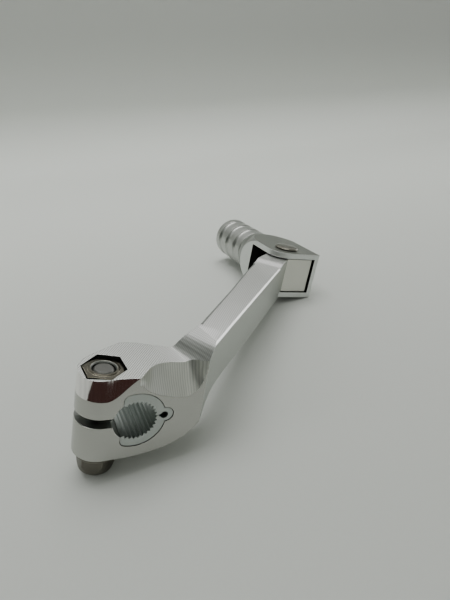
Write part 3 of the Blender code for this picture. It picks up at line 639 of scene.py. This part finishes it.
lever_arm = finished_piece("lever_arm_body", arm_source, arm_tools, LEVER, 32.0,
                           {"crown_finish", "shoulder_finish", "top_finish"})
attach(lever_arm, "lever")
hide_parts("lever_arm")

# ---------------------------------------------------------------- spline insert
# Hard steel C-ring pressed into the soft boss, kept from turning by a round key lug and slotted
# from the bore to a small relief hole. Thirty V serrations are broached inside, dull and grey.

TEETH = 30
ROOT_R, CREST_R = 6.0, 5.3
INSERT_HOLE = (7.76, 0.73, 1.07)
INSERT_SLOT_HALF = 0.35
INSERT_FRONT, INSERT_BACK = 0.15, 14.6

insert_face = metal("insert_face", (0.50, 0.53, 0.51), (0.40, 0.43, 0.41), 0.34, 0.12, 2500.0, 0.004,
                    edge=0.08)
# The teeth are darker than the insert's face: painted shade inside the bore, over the steel's own dull grey.
serration_shaded = metal("serration_shaded", (0.36, 0.39, 0.37), (0.24, 0.27, 0.255), 0.32, 0.15,
                         2500.0, 0.004, edge=0.06)


def insert_ring():
    """C-shaped outline with a smooth bore at the root radius and the keyhole slot."""
    hole_x, hole_y, hole_r = INSERT_HOLE
    throat = math.degrees(math.asin(INSERT_SLOT_HALF / hole_r))
    limit = math.degrees(math.acos(INSERT_FLAT_X / ROOT_R))
    low_side = math.degrees(math.asin((hole_y - INSERT_SLOT_HALF) / ROOT_R))
    high_side = math.degrees(math.asin((hole_y + INSERT_SLOT_HALF) / ROOT_R))
    inner = arc(0.0, 0.0, ROOT_R, -limit, low_side, 60)
    inner += arc(hole_x, hole_y, hole_r, throat - 180.0, 180.0 - throat, 28)
    inner += arc(0.0, 0.0, ROOT_R, high_side, limit, 60)
    return insert_outer(0.0) + inner


def tooth_mesh():
    """One V ridge along the bore, standing at the crest radius on +X."""
    half = math.tan(math.radians(180.0 / TEETH)) * ROOT_R
    base, buried = ROOT_R + 0.02, ROOT_R + 0.3
    loop = [(CREST_R, 0.0), (base, half), (buried, half), (buried, -half), (base, -half)]
    return prism_along_y("tooth", loop, INSERT_FRONT + 0.01, INSERT_BACK - 0.01, serration_shaded)


def ring_of_teeth(tooth):
    """Geometry Nodes: copies of one tooth turned about the bore, with named inputs."""
    tree = bpy.data.node_groups.new("ring_of_teeth", 'GeometryNodeTree')
    tree.interface.new_socket("Geometry", in_out='INPUT', socket_type='NodeSocketGeometry')
    sockets = (("Tooth", 'NodeSocketObject', tooth), ("Count", 'NodeSocketInt', 21),
               ("First Angle", 'NodeSocketFloat', math.radians(-120.0)),
               ("Pitch Angle", 'NodeSocketFloat', 2.0 * math.pi / TEETH),
               ("Finish", 'NodeSocketMaterial', serration_shaded),
               ("Face Finish", 'NodeSocketMaterial', insert_face))
    for label, kind, value in sockets:
        tree.interface.new_socket(label, in_out='INPUT', socket_type=kind)
    tree.interface.new_socket("Geometry", in_out='OUTPUT', socket_type='NodeSocketGeometry')
    given = tree.nodes.new('NodeGroupInput')
    result = tree.nodes.new('NodeGroupOutput')
    points = chain(tree, 'GeometryNodePoints', links={"Count": given.outputs["Count"]})
    index = tree.nodes.new('GeometryNodeInputIndex')
    step = chain(tree, 'ShaderNodeMath', {"operation": 'MULTIPLY'},
                 links={0: index.outputs[0], 1: given.outputs["Pitch Angle"]})
    angle = chain(tree, 'ShaderNodeMath', {"operation": 'ADD'},
                  links={0: step.outputs[0], 1: given.outputs["First Angle"]})
    back = chain(tree, 'ShaderNodeMath', {"operation": 'MULTIPLY'}, {1: -1.0}, {0: angle.outputs[0]})
    turn = chain(tree, 'ShaderNodeCombineXYZ', links={"Y": back.outputs[0]})
    info = chain(tree, 'GeometryNodeObjectInfo', links={"Object": given.outputs["Tooth"]})
    copies = chain(tree, 'GeometryNodeInstanceOnPoints',
                   links={"Points": points.outputs[0], "Instance": info.outputs["Geometry"],
                          "Rotation": turn.outputs[0]})
    real = chain(tree, 'GeometryNodeRealizeInstances', links={0: copies.outputs[0]})
    dressed = chain(tree, 'GeometryNodeSetMaterial',
                    links={"Geometry": real.outputs[0], "Material": given.outputs["Finish"]})
    facing = tree.nodes.new('GeometryNodeInputNormal')
    apart = chain(tree, 'ShaderNodeSeparateXYZ', links={0: facing.outputs[0]})
    front = chain(tree, 'FunctionNodeCompare', {"operation": 'LESS_THAN'}, {1: -0.9}, {0: apart.outputs["Y"]})
    faced = chain(tree, 'GeometryNodeSetMaterial',
                  links={"Geometry": dressed.outputs[0], "Selection": front.outputs[0],
                         "Material": given.outputs["Face Finish"]})
    tree.links.new(faced.outputs[0], result.inputs[0])
    return tree, sockets


def apply_tree(name, tree, values, matrix, sharp_deg=30.0):
    """Plain mesh object from a Geometry Nodes tree run on an empty mesh."""
    holder = mesh_object(name + "_holder", bpy.data.meshes.new(name + "_holder"))
    change = holder.modifiers.new(name, 'NODES')
    change.node_group = tree
    for item in tree.interface.items_tree:
        if item.in_out == 'INPUT' and item.name in values:
            change[item.identifier] = values[item.name]
    return finished_piece(name, holder, [], matrix, sharp_deg)


ring_source = prism_along_y("insert_source", insert_ring(), INSERT_FRONT, INSERT_BACK, insert_face)
ring_source.data.materials.append(serration_shaded)
for face in ring_source.data.polygons:
    centre = face.center / MM
    if abs(face.normal.y) < 0.5 and math.hypot(centre.x, centre.z) < ROOT_R + 0.1:
        face.material_index = 1
spline_ring = finished_piece("spline_ring", ring_source, [], LEVER)
tooth_object = tooth_mesh()
teeth_tree, teeth_sockets = ring_of_teeth(tooth_object)
teeth_values = {label: value for label, kind, value in teeth_sockets}
serrations = apply_tree("serrations", teeth_tree, teeth_values, LEVER)
bpy.data.objects.remove(tooth_object, do_unlink=True)
for piece in (spline_ring, serrations):
    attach(piece, "lever")
    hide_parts("spline_insert")

# ---------------------------------------------------------------- pinch bolt
# M6 flange bolt that pulls the two jaws together from below. Its hexagon head is dull and rough,
# and the turned, chamfered end of the shank stands just proud of the nut.

SHANK_R = 2.9
BOLT_TOP = 12.7
FLANGE_R, FLANGE_TOP = 6.0, BOSS_BOTTOM - 0.2
HEAD_BOTTOM = -18.8
THREAD_PITCH, THREAD_DEPTH, THREAD_END = 1.0, 0.35, -11.0
HEAD_FLATS = 9.6

bolt_finish = metal("bolt_finish", (0.22, 0.21, 0.18), (0.09, 0.085, 0.07), 0.42, 0.2, 1200.0, 0.08)
bolt_end_finish = metal("bolt_end_finish", (0.19, 0.19, 0.18), (0.14, 0.14, 0.13), 0.38, 0.1, 2500.0, 0.01)


def turned(name, profile, sides, finish=None):
    """Profile of (radius, z) points, top to bottom, screwed round the Z axis."""
    mesh = bpy.data.meshes.new(name)
    points = [(radius * MM, 0.0, z * MM) for radius, z in profile]
    mesh.from_pydata(points, [(i, i + 1) for i in range(len(points) - 1)], [])
    obj = mesh_object(name, mesh)
    screw = obj.modifiers.new("turn", 'SCREW')
    screw.axis = 'Z'
    screw.steps = sides
    screw.render_steps = sides
    screw.use_merge_vertices = True
    screw.merge_threshold = 0.000005
    solid = evaluated_mesh(obj)
    clean(solid)
    bpy.data.objects.remove(obj, do_unlink=True)
    return mesh_object(name, solid, finish)


def moved(obj, x, y):
    """Object with its mesh shifted in plan."""
    obj.data.transform(Matrix.Translation((x * MM, y * MM, 0.0)))
    return obj


def shank_profile():
    """Chamfered end, threads down to the bottom of the boss, then the flange."""
    profile = [(0.0, BOLT_TOP), (2.25, BOLT_TOP), (2.45, BOLT_TOP - 0.15)]
    z = BOLT_TOP - 0.6
    while z > THREAD_END:
        profile += [(SHANK_R - 0.05, z), (SHANK_R - THREAD_DEPTH, z - 0.45 * THREAD_PITCH)]
        z -= THREAD_PITCH
    profile += [(SHANK_R, z), (SHANK_R, FLANGE_TOP), (FLANGE_R - 0.25, FLANGE_TOP)]
    profile += arc(FLANGE_R - 0.35, FLANGE_TOP - 0.35, 0.35, 90.0, 0.0, 5)
    profile += [(FLANGE_R, FLANGE_TOP - 1.0), (FLANGE_R - 0.25, FLANGE_TOP - 1.3), (5.2, FLANGE_TOP - 1.8)]
    profile.append((0.0, FLANGE_TOP - 1.9))
    return profile


shank = moved(turned("bolt_shank", shank_profile(), 96, bolt_end_finish), BOLT_X, BOLT_Y)
head = prism("bolt_head", [hexagon(0.0, 0.0, HEAD_FLATS, NUT_TURN)], HEAD_BOTTOM, FLANGE_TOP - 1.0,
             bolt_finish)
head_limit_profile = [(0.0, 0.0), (6.2, 0.0), (5.9, HEAD_BOTTOM + 5.0), (5.0, HEAD_BOTTOM + 1.6)]
head_limit_profile += arc(3.6, HEAD_BOTTOM + 1.2, 1.2, -5.0, -90.0, 8) + [(0.0, HEAD_BOTTOM)]
head_limit = turned("head_limit", head_limit_profile, 96, bolt_finish)
combine(head, [head_limit], 'INTERSECT')
ON_BOLT = LEVER @ Matrix.Translation((BOLT_X * MM, BOLT_Y * MM, 0.0))
bolt_head = finished_piece("bolt_head_piece", head, [head_limit], ON_BOLT)
shank.data.materials.append(bolt_finish)
for face in shank.data.polygons:
    if face.center.z / MM < FLANGE_TOP + 0.1:
        face.material_index = 1
bolt_shank = finished_piece("bolt_shank_piece", shank, [], LEVER)
for piece in (bolt_head, bolt_shank):
    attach(piece, "lever")
    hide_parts("pinch_bolt")

# ---------------------------------------------------------------- pinch nut
# M6 hexagon nut lying in its pocket, nickel coloured, with a turned chamfer over its corners and
# a countersunk thread.

NUT_FLATS = 9.9
NUT_BOTTOM, NUT_TOP = 7.6, 12.9

# The tint is set far darker than nickel, as painted shade, and shine gives the edges a strong painted
# highlight.
nut_shaded = metal("nut_shaded", (0.14, 0.132, 0.105), (0.07, 0.065, 0.05), 0.24, 0.15, 1500.0, 0.02,
                   shine=3.5)

nut_source = prism("nut_source", [hexagon(0.0, 0.0, NUT_FLATS, NUT_TURN)], NUT_BOTTOM, NUT_TOP,
                   nut_shaded)
nut_limit_profile = [(0.0, NUT_TOP), (3.75, NUT_TOP), (3.95, NUT_TOP - 0.1), (4.15, NUT_TOP - 0.3)]
nut_limit_profile += [(4.5, NUT_TOP - 0.3), (5.2, NUT_TOP - 0.35), (7.0, NUT_TOP - 1.1)]
nut_limit_profile += [(7.0, NUT_BOTTOM - 1.0), (0.0, NUT_BOTTOM - 1.0)]
nut_limit = turned("nut_limit", nut_limit_profile, 96, nut_shaded)
nut_thread_profile = [(0.0, NUT_TOP + 0.6), (4.0, NUT_TOP + 0.6), (3.35, NUT_TOP - 0.05)]
nut_thread_profile += [(3.1, NUT_TOP - 0.4), (3.1, NUT_BOTTOM - 2.0), (0.0, NUT_BOTTOM - 2.0)]
nut_thread = turned("nut_thread", nut_thread_profile, 96, bored_and_shaded)
combine(nut_source, [nut_limit], 'INTERSECT')
combine(nut_source, [nut_thread], 'DIFFERENCE')
pinch_nut = finished_piece("pinch_nut_body", nut_source, [nut_limit, nut_thread], ON_BOLT)
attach(pinch_nut, "lever")
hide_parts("pinch_nut")

# ---------------------------------------------------------------- tip clevis
# Square aluminium block with two ears, hollowed from the front and the left, and turned down to
# the peg's diameter at its rear. It is blasted to a fine satin.

EAR_BOTTOM, EAR_TOP = 6.5, 27.8
GAP_BOTTOM, GAP_TOP = 8.9, 25.4
TIP_LEFT, TIP_RIGHT = 79.2, 102.9
TIP_FRONT, TIP_BACK = 68.9, 106.8
TIP_CORNER_R = 8.0
WALL_X = 100.8
HOLLOW_BACK = 91.0
PEG_X, PEG_Z, PEG_R = 91.5, 16.8, 10.5
SHOULDER = ((16.8, 85.0), (16.2, 89.5), (15.2, 94.0), (13.8, 98.0), (12.4, 100.8), (11.2, 102.6),
            (10.55, 103.6))
STUD_R, STUD_END = 3.9, 96.8
LEG_HOLE_Y = 88.6

satin = metal("satin", (0.44, 0.45, 0.43), (0.38, 0.39, 0.37), 0.36, 0.08, 4000.0, 0.012)
# The top faces get a darker copy of the satin, as painted shade, and the sides a lighter one, as painted
# light.
satin_top_shaded = metal("satin_top_shaded", (0.25, 0.26, 0.235), (0.21, 0.22, 0.20), 0.34, 0.08, 4000.0, 0.012, edge=0.45)
satin_side_lit = metal("satin_side_lit", (0.72, 0.74, 0.72), (0.64, 0.66, 0.64), 0.36, 0.08, 4000.0, 0.012, edge=0.45)
# Near black painted shade inside the clevis's hollow and its holes.
hollow_shade = metal("hollow_shade", (0.05, 0.05, 0.048), (0.03, 0.03, 0.028), 0.55, 0.08, 3000.0, 0.01)


def tip_outline():
    """Plan view of the clevis, counter-clockwise from the front right corner."""
    right = [(TIP_RIGHT, TIP_FRONT), (TIP_RIGHT, TIP_BACK), (TIP_LEFT, TIP_BACK)]
    return right + arc(TIP_LEFT + TIP_CORNER_R, TIP_FRONT + TIP_CORNER_R, TIP_CORNER_R, 180.0, 270.0, 28)


ALONG_PEG = Matrix.Translation((PEG_X * MM, 0.0, PEG_Z * MM)) @ Matrix.Rotation(-math.pi / 2.0, 4, 'X')

clevis_source = prism("clevis_source", [tip_outline()], EAR_BOTTOM, EAR_TOP, satin_side_lit)
clevis_source.data.materials.append(satin_top_shaded)
for face in clevis_source.data.polygons:
    if abs(face.normal.z) > 0.9:
        face.material_index = 1
turning_profile = [(0.0, TIP_BACK), (PEG_R - 0.5, TIP_BACK), (PEG_R - 0.15, TIP_BACK - 0.15)]
turning_profile.append((PEG_R, TIP_BACK - 0.5))
turning_profile += smooth_through(list(reversed(SHOULDER)), 5)
turning_profile += [(30.0, 85.0), (30.0, 60.0), (0.0, 60.0)]
turning = turned("turning", turning_profile, 160, satin)
turning.data.transform(ALONG_PEG)
clean(turning.data)
leg_x = PIN_X + COIL_R
clevis_tools = [
    block("hollow_cutter", (60.0, 50.0, GAP_BOTTOM), (WALL_X, HOLLOW_BACK, GAP_TOP), hollow_shade),
    rod("ear_hole_cutter", (PIN_X, PIN_Y, 0.0), (PIN_X, PIN_Y, 40.0), PIN_HOLE_R, 64, hollow_shade),
    rod("stud_hole_cutter", (PEG_X, STUD_END - 0.3, PEG_Z), (PEG_X, TIP_BACK + 1.0, PEG_Z), STUD_R + 0.15, 64,
        hollow_shade),
    rod("leg_hole_cutter", (leg_x, LEG_HOLE_Y, 0.0), (leg_x, LEG_HOLE_Y, 12.0), 1.0, 32, hollow_shade),
]
combine(clevis_source, [turning], 'INTERSECT')
combine(clevis_source, clevis_tools, 'DIFFERENCE')
tip_clevis = finished_piece("tip_clevis_body", clevis_source, [turning] + clevis_tools, LEVER)
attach(tip_clevis, "tip")
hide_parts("tip_clevis")

# ---------------------------------------------------------------- toe peg
# Turned aluminium peg with three deep rounded grooves for the boot, fixed to the clevis by a
# spigot. A fine turned and blasted texture covers it.

PEG_START, PEG_END = 107.1, 136.6
GROOVES = (113.2, 121.7, 130.2)
GROOVE_HALF, GROOVE_DEPTH = 1.9, 1.0
PEG_EDGE = 1.3

peg_finish = metal("peg_finish", (0.52, 0.53, 0.51), (0.42, 0.43, 0.41), 0.30, 0.1, 2200.0, 0.025)


def peg_profile():
    """Radius against distance along the peg, outer end first."""
    points = [(0.0, PEG_END)]
    points += [(y, x) for x, y in arc(PEG_END - PEG_EDGE, PEG_R - PEG_EDGE, PEG_EDGE, 0.0, 90.0, 16)]
    groove_r = (GROOVE_HALF ** 2 + GROOVE_DEPTH ** 2) / (2.0 * GROOVE_DEPTH)
    swing = math.degrees(math.asin(GROOVE_HALF / groove_r))
    for centre in reversed(GROOVES):
        groove = arc(centre, PEG_R - GROOVE_DEPTH + groove_r, groove_r, 270.0 + swing, 270.0 - swing, 20)
        points += [(y, x) for x, y in groove]
    points += [(PEG_R, PEG_START + 0.4), (PEG_R - 0.4, PEG_START), (STUD_R, PEG_START), (STUD_R, STUD_END)]
    points.append((0.0, STUD_END))
    return points


peg_source = turned("peg_source", peg_profile(), 160, peg_finish)
toe_peg = finished_piece("toe_peg_body", peg_source, [], LEVER @ ALONG_PEG)
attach(toe_peg, "tip")
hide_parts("toe_peg")

# ---------------------------------------------------------------- pivot pin and clip
# Turned steel pin with a flat domed head on the upper ear. A split ring in a groove below the
# lower ear keeps it in.

PIN_R = 3.0
PIN_HEAD_R = 5.4
PIN_END, CLIP_GROOVE_R = 4.7, 2.3
CLIP_LOW, CLIP_HIGH = 5.5, 6.3

pin_finish = metal("pin_finish", (0.22, 0.215, 0.185), (0.16, 0.155, 0.13), 0.26, 0.12, 2500.0, 0.01)
clip_finish = metal("clip_finish", (0.34, 0.34, 0.35), (0.24, 0.24, 0.25), 0.38, 0.12, 2500.0, 0.01)

seat = EAR_TOP + 0.15
pin_dome = [(0.3, seat + 1.25), (2.0, seat + 1.2), (3.8, seat + 1.02), (4.8, seat + 0.8)]
pin_dome.append((PIN_HEAD_R, seat + 0.42))
pin_profile = [(0.0, seat + 1.25)] + smooth_through(pin_dome, 5)
pin_profile += [(PIN_HEAD_R, seat + 0.15), (PIN_HEAD_R - 0.15, seat), (PIN_R, seat)]
pin_profile += [(PIN_R, CLIP_HIGH + 0.1), (CLIP_GROOVE_R, CLIP_HIGH + 0.1)]
pin_profile += [(CLIP_GROOVE_R, CLIP_LOW - 0.1), (PIN_R, CLIP_LOW - 0.1)]
pin_profile += [(PIN_R, PIN_END + 0.3), (PIN_R - 0.4, PIN_END), (0.0, PIN_END)]
pin_source = moved(turned("pin_source", pin_profile, 96, pin_finish), PIN_X, PIN_Y)
pivot_pin = finished_piece("pivot_pin_body", pin_source, [], LEVER)
clip_loop = arc(PIN_X, PIN_Y, 4.6, 122.0, 418.0, 72) + arc(PIN_X, PIN_Y, 2.45, 418.0, 122.0, 60)
clip_source = prism("clip_source", [clip_loop], CLIP_LOW, CLIP_HIGH, clip_finish)
pivot_clip = finished_piece("pivot_clip_body", clip_source, [], LEVER)
for piece, node, slot in ((pivot_pin, "pivot_pin", "pin_steel"), (pivot_clip, "pivot_clip", "spring_steel")):
    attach(piece, "tip")
    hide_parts(node)

# ---------------------------------------------------------------- torsion spring
# Drawn spring wire wound round the pin in the lug's counterbore. One leg drops into a hole in the lower ear;
# the leg that bears in the tongue is not drawn, and the wire stops at the top of the coil.

WIRE_R = 0.6
COIL_LOW, COIL_HIGH = 10.1, 16.9
COIL_TURNS, COIL_STEPS = 4.75, 190

wire_finish = metal("wire_finish", (0.34, 0.34, 0.35), (0.24, 0.24, 0.25), 0.34, 0.1, 2500.0, 0.008)

spring_path = [(leg_x, LEG_HOLE_Y, 7.2), (leg_x, LEG_HOLE_Y, 9.0), (leg_x, LEG_HOLE_Y - 0.4, 9.8)]
spring_path.append((leg_x, LEG_HOLE_Y - 1.3, COIL_LOW))
for step in range(COIL_STEPS + 1):
    angle = 2.0 * math.pi * COIL_TURNS * (step / COIL_STEPS - 1.0) - math.pi / 2.0
    height = COIL_LOW + (COIL_HIGH - COIL_LOW) * step / COIL_STEPS
    spring_path.append((PIN_X + COIL_R * math.cos(angle), PIN_Y - COIL_R * math.sin(angle), height))
wire = bpy.data.curves.new("spring_wire", 'CURVE')
wire.dimensions = '3D'
wire.bevel_depth = WIRE_R * MM
wire.bevel_resolution = 4
wire.use_fill_caps = True
wire_line = wire.splines.new('POLY')
wire_line.points.add(len(spring_path) - 1)
for point, (x, y, z) in zip(wire_line.points, spring_path):
    point.co = (x * MM, y * MM, z * MM, 1.0)
wire_source = mesh_object("spring_source", wire)
wire.materials.append(wire_finish)
torsion_spring = finished_piece("torsion_spring_body", wire_source, [], LEVER)
clean(torsion_spring.data)
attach(torsion_spring, "lever")
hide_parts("torsion_spring")

# ---------------------------------------------------------------- studio
# Pale paper sweep from floor to wall, a broad soft light above and behind with a weaker one on the
# left, and dark and glowing cards that only show as reflections in the bright metal.


def plain(name, colour, roughness):
    """Matt material of one colour."""
    made = bpy.data.materials.new(name)
    made.use_nodes = True
    shader = made.node_tree.nodes["Principled BSDF"]
    shader.inputs["Base Color"].default_value = (*colour, 1.0)
    shader.inputs["Roughness"].default_value = roughness
    shader.inputs["Specular IOR Level"].default_value = 0.2
    return made


def paper_finish():
    """Matt paper with painted shade toward the front and up the wall, and a faint fibre grain."""
    made = plain("paper", (0.68, 0.70, 0.66), 0.75)
    tree = made.node_tree
    place = chain(tree, 'ShaderNodeTexCoord')
    apart = chain(tree, 'ShaderNodeSeparateXYZ', links={0: place.outputs["Object"]})
    # Painted shade: the paper is darkened toward the front and with height up the wall.
    front = chain(tree, 'ShaderNodeMapRange', {"interpolation_type": 'SMOOTHSTEP'},
                  {"From Min": -0.20, "From Max": 0.25, "To Min": 0.54, "To Max": 0.77},
                  {"Value": apart.outputs["Y"]})
    wall = chain(tree, 'ShaderNodeMapRange', {"interpolation_type": 'SMOOTHSTEP'},
                 {"From Min": 0.0, "From Max": 0.16, "To Min": 1.0, "To Max": 0.64},
                 {"Value": apart.outputs["Z"]})
    grain = chain(tree, 'ShaderNodeTexNoise', values={"Scale": 900.0, "Detail": 2.0},
                  links={"Vector": place.outputs["Object"]})
    fibre = chain(tree, 'ShaderNodeMapRange', values={"To Min": 0.985, "To Max": 1.015},
                  links={"Value": grain.outputs[0]})
    level = chain(tree, 'ShaderNodeMath', {"operation": 'MULTIPLY'},
                  links={0: front.outputs[0], 1: wall.outputs[0]})
    level = chain(tree, 'ShaderNodeMath', {"operation": 'MULTIPLY'},
                  links={0: level.outputs[0], 1: fibre.outputs[0]})
    tint = chain(tree, 'ShaderNodeVectorMath', {"operation": 'SCALE'}, {0: (0.98, 1.01, 0.955)},
                 {"Scale": level.outputs[0]})
    tree.links.new(tint.outputs[0], tree.nodes["Principled BSDF"].inputs["Base Color"])
    return made


sweep_profile = [(-3.0, 0.0), (0.40, 0.0)] + arc(0.41, 0.07, 0.07, -88.0, 0.0, 20)
sweep_profile += [(0.48, 0.40), (0.48, 3.0)]
sweep_mesh = bpy.data.meshes.new("paper_sweep")
sweep_points = [(side * 4.0, y, z) for y, z in sweep_profile for side in (-1.0, 1.0)]
sweep_faces = [(2 * i, 2 * i + 1, 2 * i + 3, 2 * i + 2) for i in range(len(sweep_profile) - 1)]
sweep_mesh.from_pydata(sweep_points, [], sweep_faces)
sweep_mesh.shade_smooth()
sweep = mesh_object("paper_sweep", sweep_mesh, paper_finish())


def area_light(name, place, target, width, height, power, colour=(1.0, 1.0, 1.0)):
    """Rectangular light aimed at a target, left out of the metal's reflections."""
    data = bpy.data.lights.new(name, 'AREA')
    data.shape = 'RECTANGLE'
    data.size = width
    data.size_y = height
    data.energy = power
    data.color = colour
    light = bpy.data.objects.new(name, data)
    bpy.context.scene.collection.objects.link(light)
    light.location = place
    light.visible_glossy = False
    light.rotation_euler = (Vector(target) - Vector(place)).to_track_quat('-Z', 'Y').to_euler()


area_light("ceiling_light", (0.05, 0.20, 1.10), (0.05, 0.20, 0.0), 1.0, 0.7, 9.0)
area_light("left_window", (-1.3, 0.1, 0.9), (0.0, 0.1, 0.0), 0.5, 0.8, 2.5, (0.97, 0.99, 1.0))

world = bpy.data.worlds.new("room")
bpy.context.scene.world = world
world.use_nodes = True
room = world.node_tree.nodes["Background"]
room.inputs["Color"].default_value = (0.92, 0.95, 0.90, 1.0)
room.inputs["Strength"].default_value = 0.42


def reflected_card(name, corners, colour, glow=0.0):
    """Flat card seen only in the reflections of the metal."""
    mesh = bpy.data.meshes.new(name)
    mesh.from_pydata(corners, [], [(0, 1, 2, 3)])
    card = mesh_object(name, mesh, plain(name, colour, 0.9))
    shader = mesh.materials[0].node_tree.nodes["Principled BSDF"]
    shader.inputs["Emission Color"].default_value = (1.0, 1.0, 0.98, 1.0)
    shader.inputs["Emission Strength"].default_value = glow
    card.visible_camera = False
    card.visible_diffuse = False
    card.visible_shadow = False
    return card


BLACK = (0.0, 0.0, 0.0)
desk_corners = [(-0.6, -0.60, 0.002), (0.6, -0.60, 0.002), (0.6, -0.128, 0.002), (-0.6, -0.128, 0.002)]
front_corners = [(-0.9, -0.70, 0.0), (0.9, -0.70, 0.0), (0.9, -0.45, 0.9), (-0.9, -0.45, 0.9)]
left_corners = [(-0.75, -0.6, 0.0), (-0.75, 0.45, 0.0), (-0.65, 0.45, 0.45), (-0.65, -0.6, 0.45)]
window_corners = [(0.80, 0.05, 0.0), (0.80, 0.80, 0.0), (0.80, 0.80, 0.35), (0.80, 0.05, 0.35)]
wall_corners = [(-0.5, 0.47, 0.28), (0.9, 0.47, 0.28), (0.9, 0.40, 1.0), (-0.5, 0.40, 1.0)]
lamp_corners = [(-0.45, -0.10, 1.1), (0.55, -0.10, 1.1), (0.55, 0.28, 1.1), (-0.45, 0.28, 1.1)]
desk_edge = reflected_card("desk_edge", desk_corners, (0.030, 0.009, 0.007))
dim_front = reflected_card("dim_front", front_corners, (0.50, 0.51, 0.48))
dim_left = reflected_card("dim_left", left_corners, (0.11, 0.115, 0.11))
right_window = reflected_card("right_window", window_corners, BLACK, 2.2)
bright_wall = reflected_card("bright_wall", wall_corners, BLACK, 1.0)
lamp = reflected_card("lamp", lamp_corners, BLACK, 4.0)

# ---------------------------------------------------------------- camera
# The camera stands low in front of the boss and looks down the length of the arm. Its place and its
# three directions are in the lever's own frame.

lens = bpy.data.cameras.new("lever_camera")
lens.sensor_fit = 'HORIZONTAL'
lens.sensor_width = 36.0
lens.lens = 36.14
lens.clip_start = 0.005
camera = bpy.data.objects.new("lever_camera", lens)
bpy.context.scene.collection.objects.link(camera)
eye = Vector((-32.96, -94.65, 74.85)) * MM
right = Vector((0.8912, -0.4178, 0.1767))
down = Vector((-0.0012, -0.3918, -0.9201))
forward = -right.cross(-down).normalized()
view = Matrix.Identity(4)
for column, axis in enumerate((right, -down, -forward)):
    for row in range(3):
        view[row][column] = axis[row]
camera.matrix_world = LEVER @ Matrix.Translation(eye) @ view
bpy.context.scene.camera = camera
